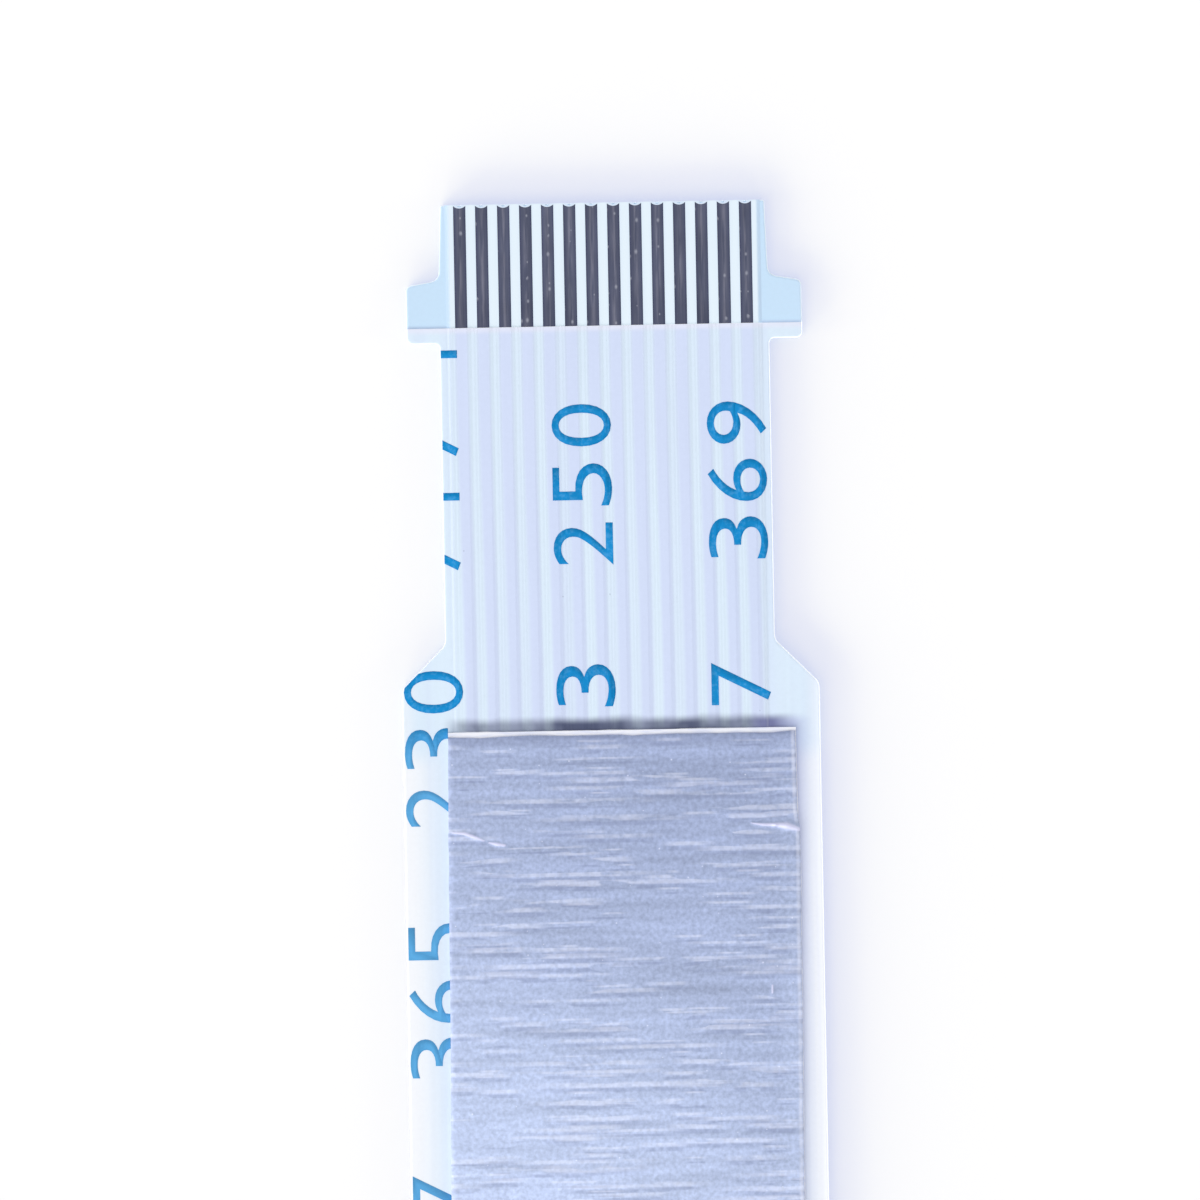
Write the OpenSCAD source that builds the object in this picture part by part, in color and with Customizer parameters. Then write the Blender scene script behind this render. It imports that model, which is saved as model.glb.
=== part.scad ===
// Flat flexible hard drive cable: flat conductors laminated between two films,
// a stiffened and eared contact end at each tip, and an aluminium foil shield.
// The cable lies flat along Y, contacts up, and stands on the undersides of its stiffeners.

/* [Cable] */
// Overall length, tip to tip
cable_length = 80; // [50:1:300]
// Number of flat conductors
conductor_count = 14; // [4:1:30]
// Distance between conductor centres
conductor_pitch = 0.5; // [0.45:0.01:1.25]
// Width of each conductor
conductor_w = 0.28; // [0.2:0.01:0.32]
// Thickness of each conductor
conductor_t = 0.05; // [0.03:0.005:0.1]

/* [Films] */
// Thickness of the back film
base_film_t = 0.06; // [0.03:0.005:0.15]
// Thickness of the front film over a conductor
cover_film_t = 0.06; // [0.04:0.005:0.15]
// Depth of the grooves that the front film has between conductors
groove_depth = 0.01; // [0.005:0.005:0.03]
// Width of the slope on each side of a rib
rib_slope = 0.06; // [0.01:0.005:0.08]
// White adhesive beside the outer conductors
adhesive_margin = 0.12; // [0.1:0.01:0.18]
// Width of the slope where the adhesive runs out to the bare back film
adhesive_slope = 0.08; // [0.02:0.01:0.09]

/* [Outline] */
// Film beside the outer conductors' centres in the neck
neck_margin = 0.5; // [0.48:0.01:0.8]
// Film beside the outer conductors' centres in the body
body_margin = 1.5; // [1.2:0.05:3]
// From the tip to the start of the shoulders
neck_length = 10; // [7:0.5:16]
// Length of each shoulder along the cable
shoulder_length = 1; // [0.5:0.1:3]
// Rounding of the shoulders' corners
shoulder_r = 0.3; // [0.05:0.05:0.5]
// How much each side of the tip draws in, as a lead into the connector
tip_taper = 0.06; // [0.01:0.01:0.08]
// Rounding of the tip's corners
tip_r = 0.05; // [0.02:0.01:0.08]

/* [Ears] */
// From the tip to the root of each ear's leading edge
ear_start = 1.7; // [1:0.1:2.5]
// Height of each ear along the cable
ear_length = 1.45; // [1:0.05:2.5]
// How far each ear stands out from the neck
ear_reach = 0.75; // [0.6:0.05:1.5]
// Fall of an ear's leading edge from its root to its outer corner
ear_drop = 0.13; // [0:0.01:0.3]
// Fillet at the leading root
ear_root_r = 0.22; // [0.05:0.01:0.3]
// Rounding of the outer corners
ear_corner_r = 0.14; // [0.02:0.01:0.25]
// Fillet at the trailing root
ear_heel_r = 0.12; // [0.02:0.01:0.25]

/* [Contacts] */
// From the tip to the front film's cut edge
contact_length = 2.8; // [1.5:0.05:4.5]
// Depth of the rounded bite in a conductor's tip
tip_bite = 0.08; // [0.06:0.01:0.15]
// How far the corners of a conductor's tip stay back from the tip
tip_setback = 0.02; // [0.01:0.005:0.03]
// Adhesive left between a conductor's tip and the small notch in front of it
tip_web = 0.03; // [0.02:0.005:0.04]

/* [Stiffeners] */
// Length of each stiffener from the tip
stiffener_length = 12.5; // [4:0.5:15]
// Thickness of each stiffener
stiffener_t = 0.19; // [0.1:0.01:0.3]

/* [Shield] */
// Bare film between the shoulders and each end of the shield's backing
shield_gap = 1; // [0.2:0.1:6]
// Bare film beside the shield on the left
shield_left = 0.97; // [0.2:0.01:1.5]
// Bare film beside the foil on the right
shield_right = 0.58; // [0.2:0.01:1.5]
// Thickness of the white backing over a rib
backing_t = 0.06; // [0.03:0.01:0.15]
// Thickness of the foil
foil_t = 0.05; // [0.02:0.01:0.15]
// White backing left bare beyond each end of the foil
backing_lip = 0.11; // [0.02:0.01:0.3]
// White backing left bare along the foil's right side
backing_side_lip = 0.02; // [0.01:0.01:0.15]

/* [Hidden] */
$fn = 48;
// Straight steps in each rounded corner of an outline
arc_steps = 8;

function conductor_name(i) = str("conductor_", i < 10 ? "0" : "", i);

CONDUCTORS = [for (i = [1:conductor_count]) conductor_name(i)];

// Plan: half widths and the tip
tip_y = cable_length / 2;
outer_conductor_x = (conductor_count - 1) * conductor_pitch / 2;
neck_half = outer_conductor_x + neck_margin;
body_half = outer_conductor_x + body_margin;
bed_half = outer_conductor_x + conductor_w / 2 + adhesive_margin;
bed_foot_half = bed_half + adhesive_slope;

// Bite in a conductor's tip, as an arc from corner to corner, and the notch in front of it
tip_rise = tip_bite - tip_setback;
tip_bite_r = (conductor_w * conductor_w / 4 + tip_rise * tip_rise) / (2 * tip_rise);
tip_notch_r = tip_bite - tip_web;

// Layers, from the surface that the cable lies on
base_z = stiffener_t;
film_z = base_z + base_film_t;
conductor_top_z = film_z + conductor_t;
margin_z = film_z + cover_film_t;
rib_z = conductor_top_z + cover_film_t;
groove_z = rib_z - groove_depth;
backing_z = rib_z + backing_t;

// Shield edges
foil_left_x = -body_half + shield_left;
foil_right_x = body_half - shield_right;
backing_right_x = foil_right_x + backing_side_lip;
backing_half_length = tip_y - neck_length - shoulder_length - shield_gap;
foil_half_length = backing_half_length - backing_lip;

function conductor_x(i) = (i - 1) * conductor_pitch - outer_conductor_x;

function xy(p) = [p.x, p.y];

function towards(from, to) = (to - from) / norm(to - from);

function angle_of(v) = atan2(v.y, v.x);

function reversed(list) = [for (k = [len(list) - 1:-1:0]) list[k]];

function mirrored(corners, sx, sy) = [for (c = corners) [sx * c.x, sy * c.y, c.z]];

// The arc that rounds corner b, between its neighbours a and c, to radius r
function corner_arc(a, b, c, r) =
    let (
        u = towards(b, a),
        w = towards(b, c),
        half = acos(u * w) / 2,
        centre = b + towards([0, 0], u + w) * r / sin(half),
        start = angle_of(b + u * r / tan(half) - centre),
        turn = -sign(cross(u, w)) * (180 - 2 * half)
    )
    [
        for (i = [0:arc_steps])
            let (at = start + turn * i / arc_steps)
            centre + r * [cos(at), sin(at)]
    ];

// A closed outline from corners written as [x, y, rounding radius]
function rounded(corners) =
    let (n = len(corners))
    [
        for (k = [0:n - 1])
            let (
                before = xy(corners[(k + n - 1) % n]),
                after = xy(corners[(k + 1) % n])
            )
            each corner_arc(before, xy(corners[k]), after, corners[k].z)
    ];

// The right side of the near contact end, from the tip down to the body
near_right = [
    [neck_half - tip_taper, tip_y, tip_r],
    [neck_half, tip_y - ear_start, ear_root_r],
    [neck_half + ear_reach, tip_y - ear_start - ear_drop, ear_corner_r],
    [neck_half + ear_reach, tip_y - ear_start - ear_length, ear_corner_r],
    [neck_half, tip_y - ear_start - ear_length, ear_heel_r],
    [neck_half, tip_y - neck_length, shoulder_r],
    [body_half, tip_y - neck_length - shoulder_length, shoulder_r]
];
film_corners = concat(
    near_right,
    reversed(mirrored(near_right, 1, -1)),
    mirrored(near_right, -1, -1),
    reversed(mirrored(near_right, -1, 1))
);

function rib(x) = [
    [x - conductor_w / 2 - rib_slope, groove_z],
    [x - conductor_w / 2, rib_z],
    [x + conductor_w / 2, rib_z],
    [x + conductor_w / 2 + rib_slope, groove_z]
];

// Front film in cross-section, left to right: its ribbed face and its underside
cover_face = concat(
    [[-body_half, margin_z], [-bed_foot_half, margin_z], [-bed_half, groove_z]],
    [for (i = [1:conductor_count]) each rib(conductor_x(i))],
    [[bed_half, groove_z], [bed_foot_half, margin_z], [body_half, margin_z]]
);
bed_face = [
    [-bed_foot_half, film_z],
    [-bed_half, conductor_top_z],
    [bed_half, conductor_top_z],
    [bed_foot_half, film_z]
];
cover_underside = concat([[-body_half, film_z]], bed_face, [[body_half, film_z]]);

module film_outline() {
    polygon(rounded(film_corners));
}

// A cross-section in X and Z, drawn out along the cable to a length centred on the origin
module along_cable(section, length) {
    rotate([90, 0, 0])
        linear_extrude(length, center = true)
            polygon(section);
}

module base_film() {
    color("aliceblue")
        translate([0, 0, base_z])
            linear_extrude(base_film_t)
                film_outline();
}

module conductor_solid(i) {
    translate([conductor_x(i), 0, film_z])
        linear_extrude(conductor_t)
            difference() {
                square([conductor_w, cable_length], center = true);
                for (end = [-1, 1])
                    translate([0, end * (tip_y + tip_bite_r - tip_bite)])
                        circle(tip_bite_r);
            }
}

module conductor(i) {
    color("slategray")
        conductor_solid(i);
}

module tip_notches() {
    for (i = [1:conductor_count], end = [-1, 1])
        translate([conductor_x(i), end * tip_y, film_z])
            cylinder(r = tip_notch_r, h = conductor_t);
}

// The adhesive fills everything between the films that the conductors leave
module adhesive_bed() {
    color("white")
        difference() {
            along_cable(bed_face, cable_length);
            for (i = [1:conductor_count])
                conductor_solid(i);
            tip_notches();
        }
}

// The front film stops short of both tips, which leaves the contacts bare
module cover_film() {
    color("lavender")
        intersection() {
            along_cable(concat(cover_face, reversed(cover_underside)), cable_length - 2 * contact_length);
            translate([0, 0, film_z])
                linear_extrude(rib_z - film_z)
                    film_outline();
        }
}

module stiffener(end) {
    color("lightblue")
        linear_extrude(stiffener_t)
            intersection() {
                film_outline();
                translate([0, end * (tip_y - stiffener_length / 2)])
                    square([2 * (body_half + ear_reach), stiffener_length], center = true);
            }
}

// The backing is pressed down into the grooves and over the outer slopes of the front film
module shield_backing() {
    color("white")
        intersection() {
            along_cable(
                concat(cover_face, [[body_half, backing_z], [-body_half, backing_z]]),
                2 * backing_half_length
            );
            translate([foil_left_x, -backing_half_length, margin_z])
                cube([backing_right_x - foil_left_x, 2 * backing_half_length, backing_z - margin_z]);
        }
}

module shield_foil() {
    color("silver")
        translate([foil_left_x, -foil_half_length, backing_z])
            cube([foil_right_x - foil_left_x, 2 * foil_half_length, foil_t]);
}

base_film();
adhesive_bed();
cover_film();
stiffener(1);  // stiffener_near
stiffener(-1);  // stiffener_far
shield_backing();
shield_foil();
for (i = [1:conductor_count])
    conductor(i);
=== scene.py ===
"""Dressed model of a flat flexible drive cable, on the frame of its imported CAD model.

Shapes are worked in millimetres and finished as pieces in metres, in the CAD model's own frame:
+Y runs along the cable towards the near contact end and +Z points up through the contacts.
"""

import logging
import math
from collections.abc import Callable, Iterable, Iterator, Sequence
from dataclasses import dataclass
from enum import Enum
from typing import ClassVar, NamedTuple

import bmesh
import bpy
from mathutils import Matrix, Vector, noise
from mathutils.geometry import intersect_point_line


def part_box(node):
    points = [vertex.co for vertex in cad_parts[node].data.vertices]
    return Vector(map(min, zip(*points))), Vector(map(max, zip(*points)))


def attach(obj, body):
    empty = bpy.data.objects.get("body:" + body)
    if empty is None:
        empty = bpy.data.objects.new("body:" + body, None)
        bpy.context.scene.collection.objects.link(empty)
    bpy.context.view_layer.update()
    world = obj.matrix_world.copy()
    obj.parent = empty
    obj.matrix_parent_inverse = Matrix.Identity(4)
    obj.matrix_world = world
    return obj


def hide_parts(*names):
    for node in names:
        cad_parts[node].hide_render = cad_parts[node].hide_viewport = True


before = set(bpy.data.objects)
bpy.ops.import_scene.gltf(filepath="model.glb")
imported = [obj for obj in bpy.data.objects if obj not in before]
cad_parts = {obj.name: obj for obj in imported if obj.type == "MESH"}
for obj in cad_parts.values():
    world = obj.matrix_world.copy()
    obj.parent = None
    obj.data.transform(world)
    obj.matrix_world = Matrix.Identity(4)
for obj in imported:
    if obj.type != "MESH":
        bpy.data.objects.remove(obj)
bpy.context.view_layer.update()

MM = 0.001
BODY = "root"

# Millimetres within which points are one, a point is on a cutting plane and two places are level
MERGED = 0.0001
ON_PLANE = 0.00001
LEVEL = 0.001

# Decimals of a millimetre that are kept of a size read from the frame
DECIMALS = 4

Socket = bpy.types.NodeSocket
Colour = tuple[float, float, float, float]
Range = tuple[float, float]
Feed = float | Sequence[float] | Socket

log = logging.getLogger("drive_cable")


class Surface(Enum):
    """Finishes of the cable, each with the record's material slot that it belongs to."""

    BACK_FILM = ("back film", "back_film")
    ADHESIVE = ("bonding adhesive", "adhesive")
    FRONT_FILM = ("front film", "front_film")
    STIFFENER = ("blue stiffener", "stiffener")
    BACKING = ("tape backing", "backing")
    FOIL = ("brushed foil", "foil")
    CONTACT = ("tinned contact", "contact")
    INK = ("blue ink", "front_film")

    @property
    def label(self) -> str:
        """Name of the material."""
        return self.value[0]

    @property
    def slot(self) -> str:
        """Material slot in the record."""
        return self.value[1]


class Axis(Enum):
    """Directions that a shape is sliced across."""

    ACROSS = Vector((1, 0, 0))
    ALONG = Vector((0, 1, 0))


class Ramp(NamedTuple):
    """Smooth step from a low number to a high one, as a value goes from a start to an end."""

    start: float
    end: float
    low: float = 0.0
    high: float = 1.0

    def past(self, place: float) -> "Ramp":
        """The same step, measured from a place."""
        return self._replace(start=place + self.start, end=place + self.end)

    def at(self, value: float) -> float:
        """Works the step out for one value.

        Args:
            value: Number that is tested.

        Returns:
            The eased number.
        """
        share = min(max((value - self.start) / (self.end - self.start), 0.0), 1.0)
        return self.low + (self.high - self.low) * share * share * (3 - 2 * share)


class Cloud(NamedTuple):
    """Smooth noise: cells per millimetre on each axis, finer layers and a shift to another pattern."""

    stretch: tuple[float, float, float]
    detail: float = 2.0
    seed: float = 0.0


def srgb(red: int, green: int, blue: int) -> Colour:
    """Turns a screen colour into the linear colour that shaders take.

    Args:
        red: Red level, 0 to 255.
        green: Green level, 0 to 255.
        blue: Blue level, 0 to 255.

    Returns:
        Linear red, green and blue, with an alpha of 1.
    """
    shares = [level / 255 for level in (red, green, blue)]
    linear = [s / 12.92 if s <= 0.04045 else ((s + 0.055) / 1.055) ** 2.4 for s in shares]
    return linear[0], linear[1], linear[2], 1.0


def show(thing: bpy.types.Object) -> None:
    """Puts an object into the scene."""
    bpy.context.scene.collection.objects.link(thing)


class NodeBox(NamedTuple):
    """Reach of a CAD node at rest, in millimetres."""

    left: float
    right: float
    far: float
    near: float
    bottom: float
    top: float

    @classmethod
    def of(cls, node: str) -> "NodeBox":
        """Reads a node's reach from the frame.

        Args:
            node: Name of the CAD node.

        Returns:
            The reach, rounded to what the CAD model was drawn to.
        """
        lowest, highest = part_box(node)
        edges = [edge for pair in zip(lowest, highest) for edge in pair]
        return cls(*(round(edge / MM, DECIMALS) for edge in edges))


@dataclass(frozen=True)
class CableLayout:
    """Places on the cable that several sub-assemblies share, in millimetres."""

    tip_y: float
    body_half: float
    conductor_count: int
    pitch: float
    conductor_width: float
    bed_foot_half: float
    film_end_y: float
    stiffener_y: float
    shield_y: float
    tape_left_x: float
    foil_right_x: float
    foil_end_y: float
    base_z: float
    film_z: float
    conductor_z: float
    margin_z: float
    rib_z: float
    backing_z: float
    foil_z: float
    rib_slope: float = 0.06
    groove_depth: float = 0.01
    adhesive_slope: float = 0.08
    neck_margin: float = 0.5
    neck_length: float = 10.0

    @classmethod
    def from_frame(cls) -> "CableLayout":
        """Reads the layout from the CAD nodes.

        Returns:
            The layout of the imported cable.
        """
        film = NodeBox.of("base_film")
        first = NodeBox.of("conductor_01")
        cover = NodeBox.of("cover_film")
        backing = NodeBox.of("shield_backing")
        foil = NodeBox.of("shield_foil")
        return cls(
            tip_y=film.near,
            body_half=film.right,
            conductor_count=sum(name.startswith("conductor_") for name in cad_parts),
            pitch=round(NodeBox.of("conductor_02").left - first.left, DECIMALS),
            conductor_width=round(first.right - first.left, DECIMALS),
            bed_foot_half=NodeBox.of("adhesive_bed").right,
            film_end_y=cover.near,
            stiffener_y=NodeBox.of("stiffener_near").far,
            shield_y=backing.near,
            tape_left_x=foil.left,
            foil_right_x=foil.right,
            foil_end_y=foil.near,
            base_z=film.bottom,
            film_z=film.top,
            conductor_z=first.top,
            margin_z=backing.bottom,
            rib_z=cover.top,
            backing_z=backing.top,
            foil_z=foil.top,
        )

    @property
    def bed_half(self) -> float:
        """Half width of the adhesive's flat top."""
        return self.bed_foot_half - self.adhesive_slope

    @property
    def neck_half(self) -> float:
        """Half width of the neck."""
        return self.conductor_x(self.conductor_count) + self.neck_margin

    @property
    def neck_y(self) -> float:
        """Where the neck widens into the shoulders."""
        return self.tip_y - self.neck_length

    @property
    def groove_z(self) -> float:
        """Height of the front film between two ribs."""
        return self.rib_z - self.groove_depth

    def conductor_x(self, index: int) -> float:
        """Centre of a conductor, counted from 1 on the left."""
        return (index - (self.conductor_count + 1) / 2) * self.pitch

    def face_profile(self) -> list[tuple[float, float]]:
        """Gives the front film's ribbed face in cross-section.

        Returns:
            Points across the cable and up from the surface it lies on, left to right.
        """
        half = self.conductor_width / 2
        points = [(-self.body_half, self.margin_z), (-self.bed_foot_half, self.margin_z)]
        points.append((-self.bed_half, self.groove_z))
        for index in range(1, self.conductor_count + 1):
            x = self.conductor_x(index)
            points.append((x - half - self.rib_slope, self.groove_z))
            points.append((x - half, self.rib_z))
            points.append((x + half, self.rib_z))
            points.append((x + half + self.rib_slope, self.groove_z))
        points.append((self.bed_half, self.groove_z))
        points += [(self.bed_foot_half, self.margin_z), (self.body_half, self.margin_z)]
        return points

    def face_height(self, x: float) -> float:
        """Gives the height of the front film's face.

        Args:
            x: Place across the cable.

        Returns:
            Height above the surface that the cable lies on.
        """
        profile = self.face_profile()
        for (x0, z0), (x1, z1) in zip(profile, profile[1:]):
            if x0 <= x <= x1:
                return z0 + (z1 - z0) * (x - x0) / (x1 - x0)
        return self.margin_z


class Workpiece:
    """A mesh that is shaped in millimetres and finished as a piece in metres."""

    flat_degrees: ClassVar[float] = 0.2
    corner_degrees: ClassVar[float] = 8.0

    def __init__(self, name: str) -> None:
        """Starts an empty shape with the finished piece's name."""
        self.name = name
        self.shape = bmesh.new()

    @classmethod
    def from_node(cls, name: str, node: str) -> "Workpiece":
        """Starts from a merged copy of a CAD node.

        Args:
            name: Name of the finished piece.
            node: CAD node that is copied.

        Returns:
            The copy, with its flat faces joined.
        """
        work = cls(name)
        shape = work.shape
        shape.from_mesh(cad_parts[node].data)
        bmesh.ops.scale(shape, vec=(1 / MM,) * 3, verts=shape.verts)
        bmesh.ops.remove_doubles(shape, verts=shape.verts, dist=MERGED)
        flat = math.radians(cls.flat_degrees)
        bmesh.ops.dissolve_limit(shape, angle_limit=flat, verts=shape.verts, edges=shape.edges)
        return work

    def edges_where(self, test: Callable[[Vector, Vector], bool]) -> list[bmesh.types.BMEdge]:
        """Picks the edges whose two ends pass a test.

        Args:
            test: Takes the two ends and says whether the edge is wanted.

        Returns:
            The edges that pass and turn a corner.
        """
        corner = math.radians(self.corner_degrees)
        return [
            edge
            for edge in self.shape.edges
            if edge.is_manifold
            and edge.calc_face_angle(0.0) > corner
            and test(edge.verts[0].co, edge.verts[1].co)
        ]

    def edges_above(self, height: float) -> list[bmesh.types.BMEdge]:
        """Corner edges that lie at a height or over it."""
        return self.edges_where(lambda a, b: min(a.z, b.z) > height - LEVEL)

    def edges_below(self, height: float) -> list[bmesh.types.BMEdge]:
        """Corner edges that lie at a height or under it."""
        return self.edges_where(lambda a, b: max(a.z, b.z) < height + LEVEL)

    def soften(self, edges: Iterable[bmesh.types.BMEdge], width: float, segments: int = 2) -> None:
        """Rounds edges over and shades the rounding smoothly.

        Args:
            edges: Edges to round.
            width: Width that is taken off each neighbouring face.
            segments: Steps in the rounding.
        """
        made = bmesh.ops.bevel(
            self.shape,
            geom=list(edges),
            offset=width,
            offset_type="OFFSET",
            segments=segments,
            profile=0.5,
            affect="EDGES",
            material=-1,
            clamp_overlap=False,
        )
        for face in made["faces"]:
            face.smooth = True

    def slice_across(self, axis: Axis, stations: Iterable[float]) -> None:
        """Cuts the mesh into strips without parting it.

        Args:
            axis: Direction that the cutting planes face.
            stations: Places of the cuts on that axis.
        """
        for station in stations:
            self.cut(axis.value * station, axis.value, False)

    def trim(self, point: Vector, outward: Vector) -> None:
        """Cuts away what lies beyond a plane through a point."""
        self.cut(point, outward, True)

    def cut(self, point: Vector, facing: Vector, clear_outer: bool) -> None:
        """Cuts the mesh along a plane.

        Args:
            point: A point of the plane.
            facing: Direction that the plane faces.
            clear_outer: Whether what lies beyond the plane is taken away.
        """
        bmesh.ops.bisect_plane(
            self.shape,
            geom=[*self.shape.verts, *self.shape.edges, *self.shape.faces],
            dist=ON_PLANE,
            plane_co=point,
            plane_no=facing,
            clear_outer=clear_outer,
        )

    def crease_sharp(self, degrees: float) -> None:
        """Shades the whole mesh smoothly apart from edges that turn further than an angle."""
        for face in self.shape.faces:
            face.smooth = True
        for edge in self.shape.edges:
            edge.smooth = edge.calc_face_angle(0.0) < math.radians(degrees)

    def clear_slivers(self) -> None:
        """Removes faces without area and splits many-sided faces evenly."""
        bmesh.ops.dissolve_degenerate(self.shape, dist=2 * MERGED, edges=self.shape.edges)
        many_sided = [face for face in self.shape.faces if len(face.verts) > 4]
        bmesh.ops.triangulate(self.shape, faces=many_sided, ngon_method="BEAUTY")

    def finish(
        self, surface: Surface, materials: dict[Surface, bpy.types.Material], stands_for: str | None = None
    ) -> bpy.types.Object:
        """Makes the shape a piece of the cable.

        Args:
            surface: Finish of the piece.
            materials: Material of every finish.
            stands_for: CAD node that the piece takes the place of.

        Returns:
            The finished object.
        """
        self.clear_slivers()
        bmesh.ops.scale(self.shape, vec=(MM,) * 3, verts=self.shape.verts)
        mesh = bpy.data.meshes.new(self.name)
        self.shape.to_mesh(mesh)
        self.shape.free()
        mesh.materials.append(materials[surface])
        piece = bpy.data.objects.new(self.name, mesh)
        show(piece)
        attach(piece, BODY)
        if stands_for:
            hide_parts(stands_for)
        log.info("%s: %d faces, %s", self.name, len(mesh.polygons), surface.label)
        return piece


class NodeSheet:
    """A node tree that is being wired, with short calls for the nodes that the finishes use."""

    seed_shift: ClassVar[tuple[float, float, float]] = (1.0, 1.7, 0.6)

    def __init__(self, tree: bpy.types.NodeTree) -> None:
        """Takes the tree that new nodes go into."""
        self.tree = tree

    @classmethod
    def on(cls, owner: bpy.types.Material | bpy.types.World) -> "NodeSheet":
        """Starts an empty sheet on a material or a world.

        Args:
            owner: What the nodes belong to.

        Returns:
            The sheet.
        """
        owner.use_nodes = True
        owner.node_tree.nodes.clear()
        return cls(owner.node_tree)

    def add(self, kind: str, **settings: object) -> bpy.types.Node:
        """Adds a node.

        Args:
            kind: Type name of the node.
            settings: Properties to set on it.

        Returns:
            The node.
        """
        made = self.tree.nodes.new(kind)
        for key, value in settings.items():
            setattr(made, key, value)
        return made

    def feed(self, socket: Socket, value: Feed) -> None:
        """Links a socket to another one, or sets its constant."""
        if isinstance(value, bpy.types.NodeSocket):
            self.tree.links.new(value, socket)
        elif socket.type == "VECTOR" and isinstance(value, tuple):
            socket.default_value = value[:3]
        else:
            socket.default_value = value

    def math(self, operation: str, first: Feed, second: Feed = 0.0, clamp: bool = False) -> Socket:
        """Works out one step of arithmetic.

        Args:
            operation: Name of the operation.
            first: First number.
            second: Second number, where the operation takes one.
            clamp: Whether the result is held between 0 and 1.

        Returns:
            The result.
        """
        made = self.add("ShaderNodeMath", operation=operation, use_clamp=clamp)
        self.feed(made.inputs[0], first)
        self.feed(made.inputs[1], second)
        return made.outputs[0]

    def times(self, first: Feed, *factors: Feed, clamp: bool = False) -> Socket:
        """Multiplies numbers.

        Args:
            first: First number.
            factors: Numbers that it is multiplied by.
            clamp: Whether the product is held between 0 and 1.

        Returns:
            The product.
        """
        product = first
        for factor in factors[:-1]:
            product = self.math("MULTIPLY", product, factor)
        return self.math("MULTIPLY", product, factors[-1], clamp)

    def size(self, value: Feed) -> Socket:
        """A number without its sign."""
        return self.math("ABSOLUTE", value)

    def step(self, value: Feed, start: Feed, end: Feed, low: Feed = 0.0, high: Feed = 1.0) -> Socket:
        """Eases from one number to another over a range.

        Args:
            value: Number that is tested.
            start: Where the step starts.
            end: Where it ends.
            low: Result before the start.
            high: Result past the end.

        Returns:
            The eased number.
        """
        made = self.add("ShaderNodeMapRange", interpolation_type="SMOOTHSTEP")
        names = ("Value", "From Min", "From Max", "To Min", "To Max")
        for name, number in zip(names, (value, start, end, low, high)):
            self.feed(made.inputs[name], number)
        return made.outputs["Result"]

    def spread(self, value: Feed, low: float, high: float) -> Socket:
        """Stretches a 0 to 1 number over a range without holding its ends."""
        made = self.add("ShaderNodeMapRange", clamp=False)
        for name, number in zip(("Value", "To Min", "To Max"), (value, low, high)):
            self.feed(made.inputs[name], number)
        return made.outputs["Result"]

    def blend(self, share: Feed, first: Feed, second: Feed) -> Socket:
        """Mixes two colours.

        Args:
            share: Share of the second colour.
            first: First colour.
            second: Second colour.

        Returns:
            The mixed colour.
        """
        made = self.add("ShaderNodeMix", data_type="RGBA", clamp_factor=True)
        self.feed(made.inputs["Factor"], share)
        self.feed(made.inputs[6], first)
        self.feed(made.inputs[7], second)
        return made.outputs[2]

    def dim(self, colour: Feed, level: Feed) -> Socket:
        """Multiplies a colour by a number."""
        made = self.add("ShaderNodeVectorMath", operation="SCALE")
        self.feed(made.inputs[0], colour)
        self.feed(made.inputs["Scale"], level)
        return made.outputs[0]

    def vary(self, colour: Feed, pattern: Socket, amount: float) -> Socket:
        """Makes a colour darker and lighter by a share, along a pattern around 0.5."""
        return self.dim(colour, self.spread(pattern, 1 - amount, 1 + amount))

    def place(self) -> Socket:
        """Place on the cable in millimetres."""
        return self.dim(self.add("ShaderNodeTexCoord").outputs["Object"], 1 / MM)

    def parts(self, vector: Socket) -> tuple[Socket, Socket, Socket]:
        """Splits a vector into its three numbers."""
        made = self.add("ShaderNodeSeparateXYZ")
        self.feed(made.inputs[0], vector)
        return made.outputs[0], made.outputs[1], made.outputs[2]

    def attribute(self, name: str) -> Socket:
        """A number that is kept on the piece's own points."""
        return self.add("ShaderNodeAttribute", attribute_name=name).outputs["Fac"]

    def cloud(self, vector: Feed, stretch: Sequence[float], detail: Feed = 2.0, seed: float = 0.0) -> Socket:
        """Samples smooth noise.

        Args:
            vector: Place in millimetres.
            stretch: Cells of noise per millimetre on each axis.
            detail: Finer layers of noise.
            seed: Shift that gives another pattern.

        Returns:
            Noise around 0.5.
        """
        scaled = self.add("ShaderNodeVectorMath", operation="MULTIPLY_ADD")
        self.feed(scaled.inputs[0], vector)
        self.feed(scaled.inputs[1], stretch)
        self.feed(scaled.inputs[2], tuple(seed * share for share in self.seed_shift))
        made = self.add("ShaderNodeTexNoise")
        self.feed(made.inputs["Vector"], scaled.outputs[0])
        self.feed(made.inputs["Scale"], 1.0)
        self.feed(made.inputs["Detail"], detail)
        return made.outputs[0]

    def bump(self, height: Socket, depth: float) -> Socket:
        """Raises a surface by a pattern.

        Args:
            height: Pattern around 0.5.
            depth: Height of the pattern in millimetres.

        Returns:
            The bumped normal.
        """
        made = self.add("ShaderNodeBump")
        self.feed(made.inputs["Distance"], depth * MM)
        self.feed(made.inputs["Height"], height)
        return made.outputs["Normal"]

    def effect(self, group: bpy.types.NodeTree, **values: Feed) -> dict[str, Socket]:
        """Places a shared effect.

        Args:
            group: Node group of the effect.
            values: Inputs by name.

        Returns:
            The effect's outputs by name.
        """
        made = self.add("ShaderNodeGroup", node_tree=group)
        for name, value in values.items():
            self.feed(made.inputs[name], value)
        return {socket.name: socket for socket in made.outputs}


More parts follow.
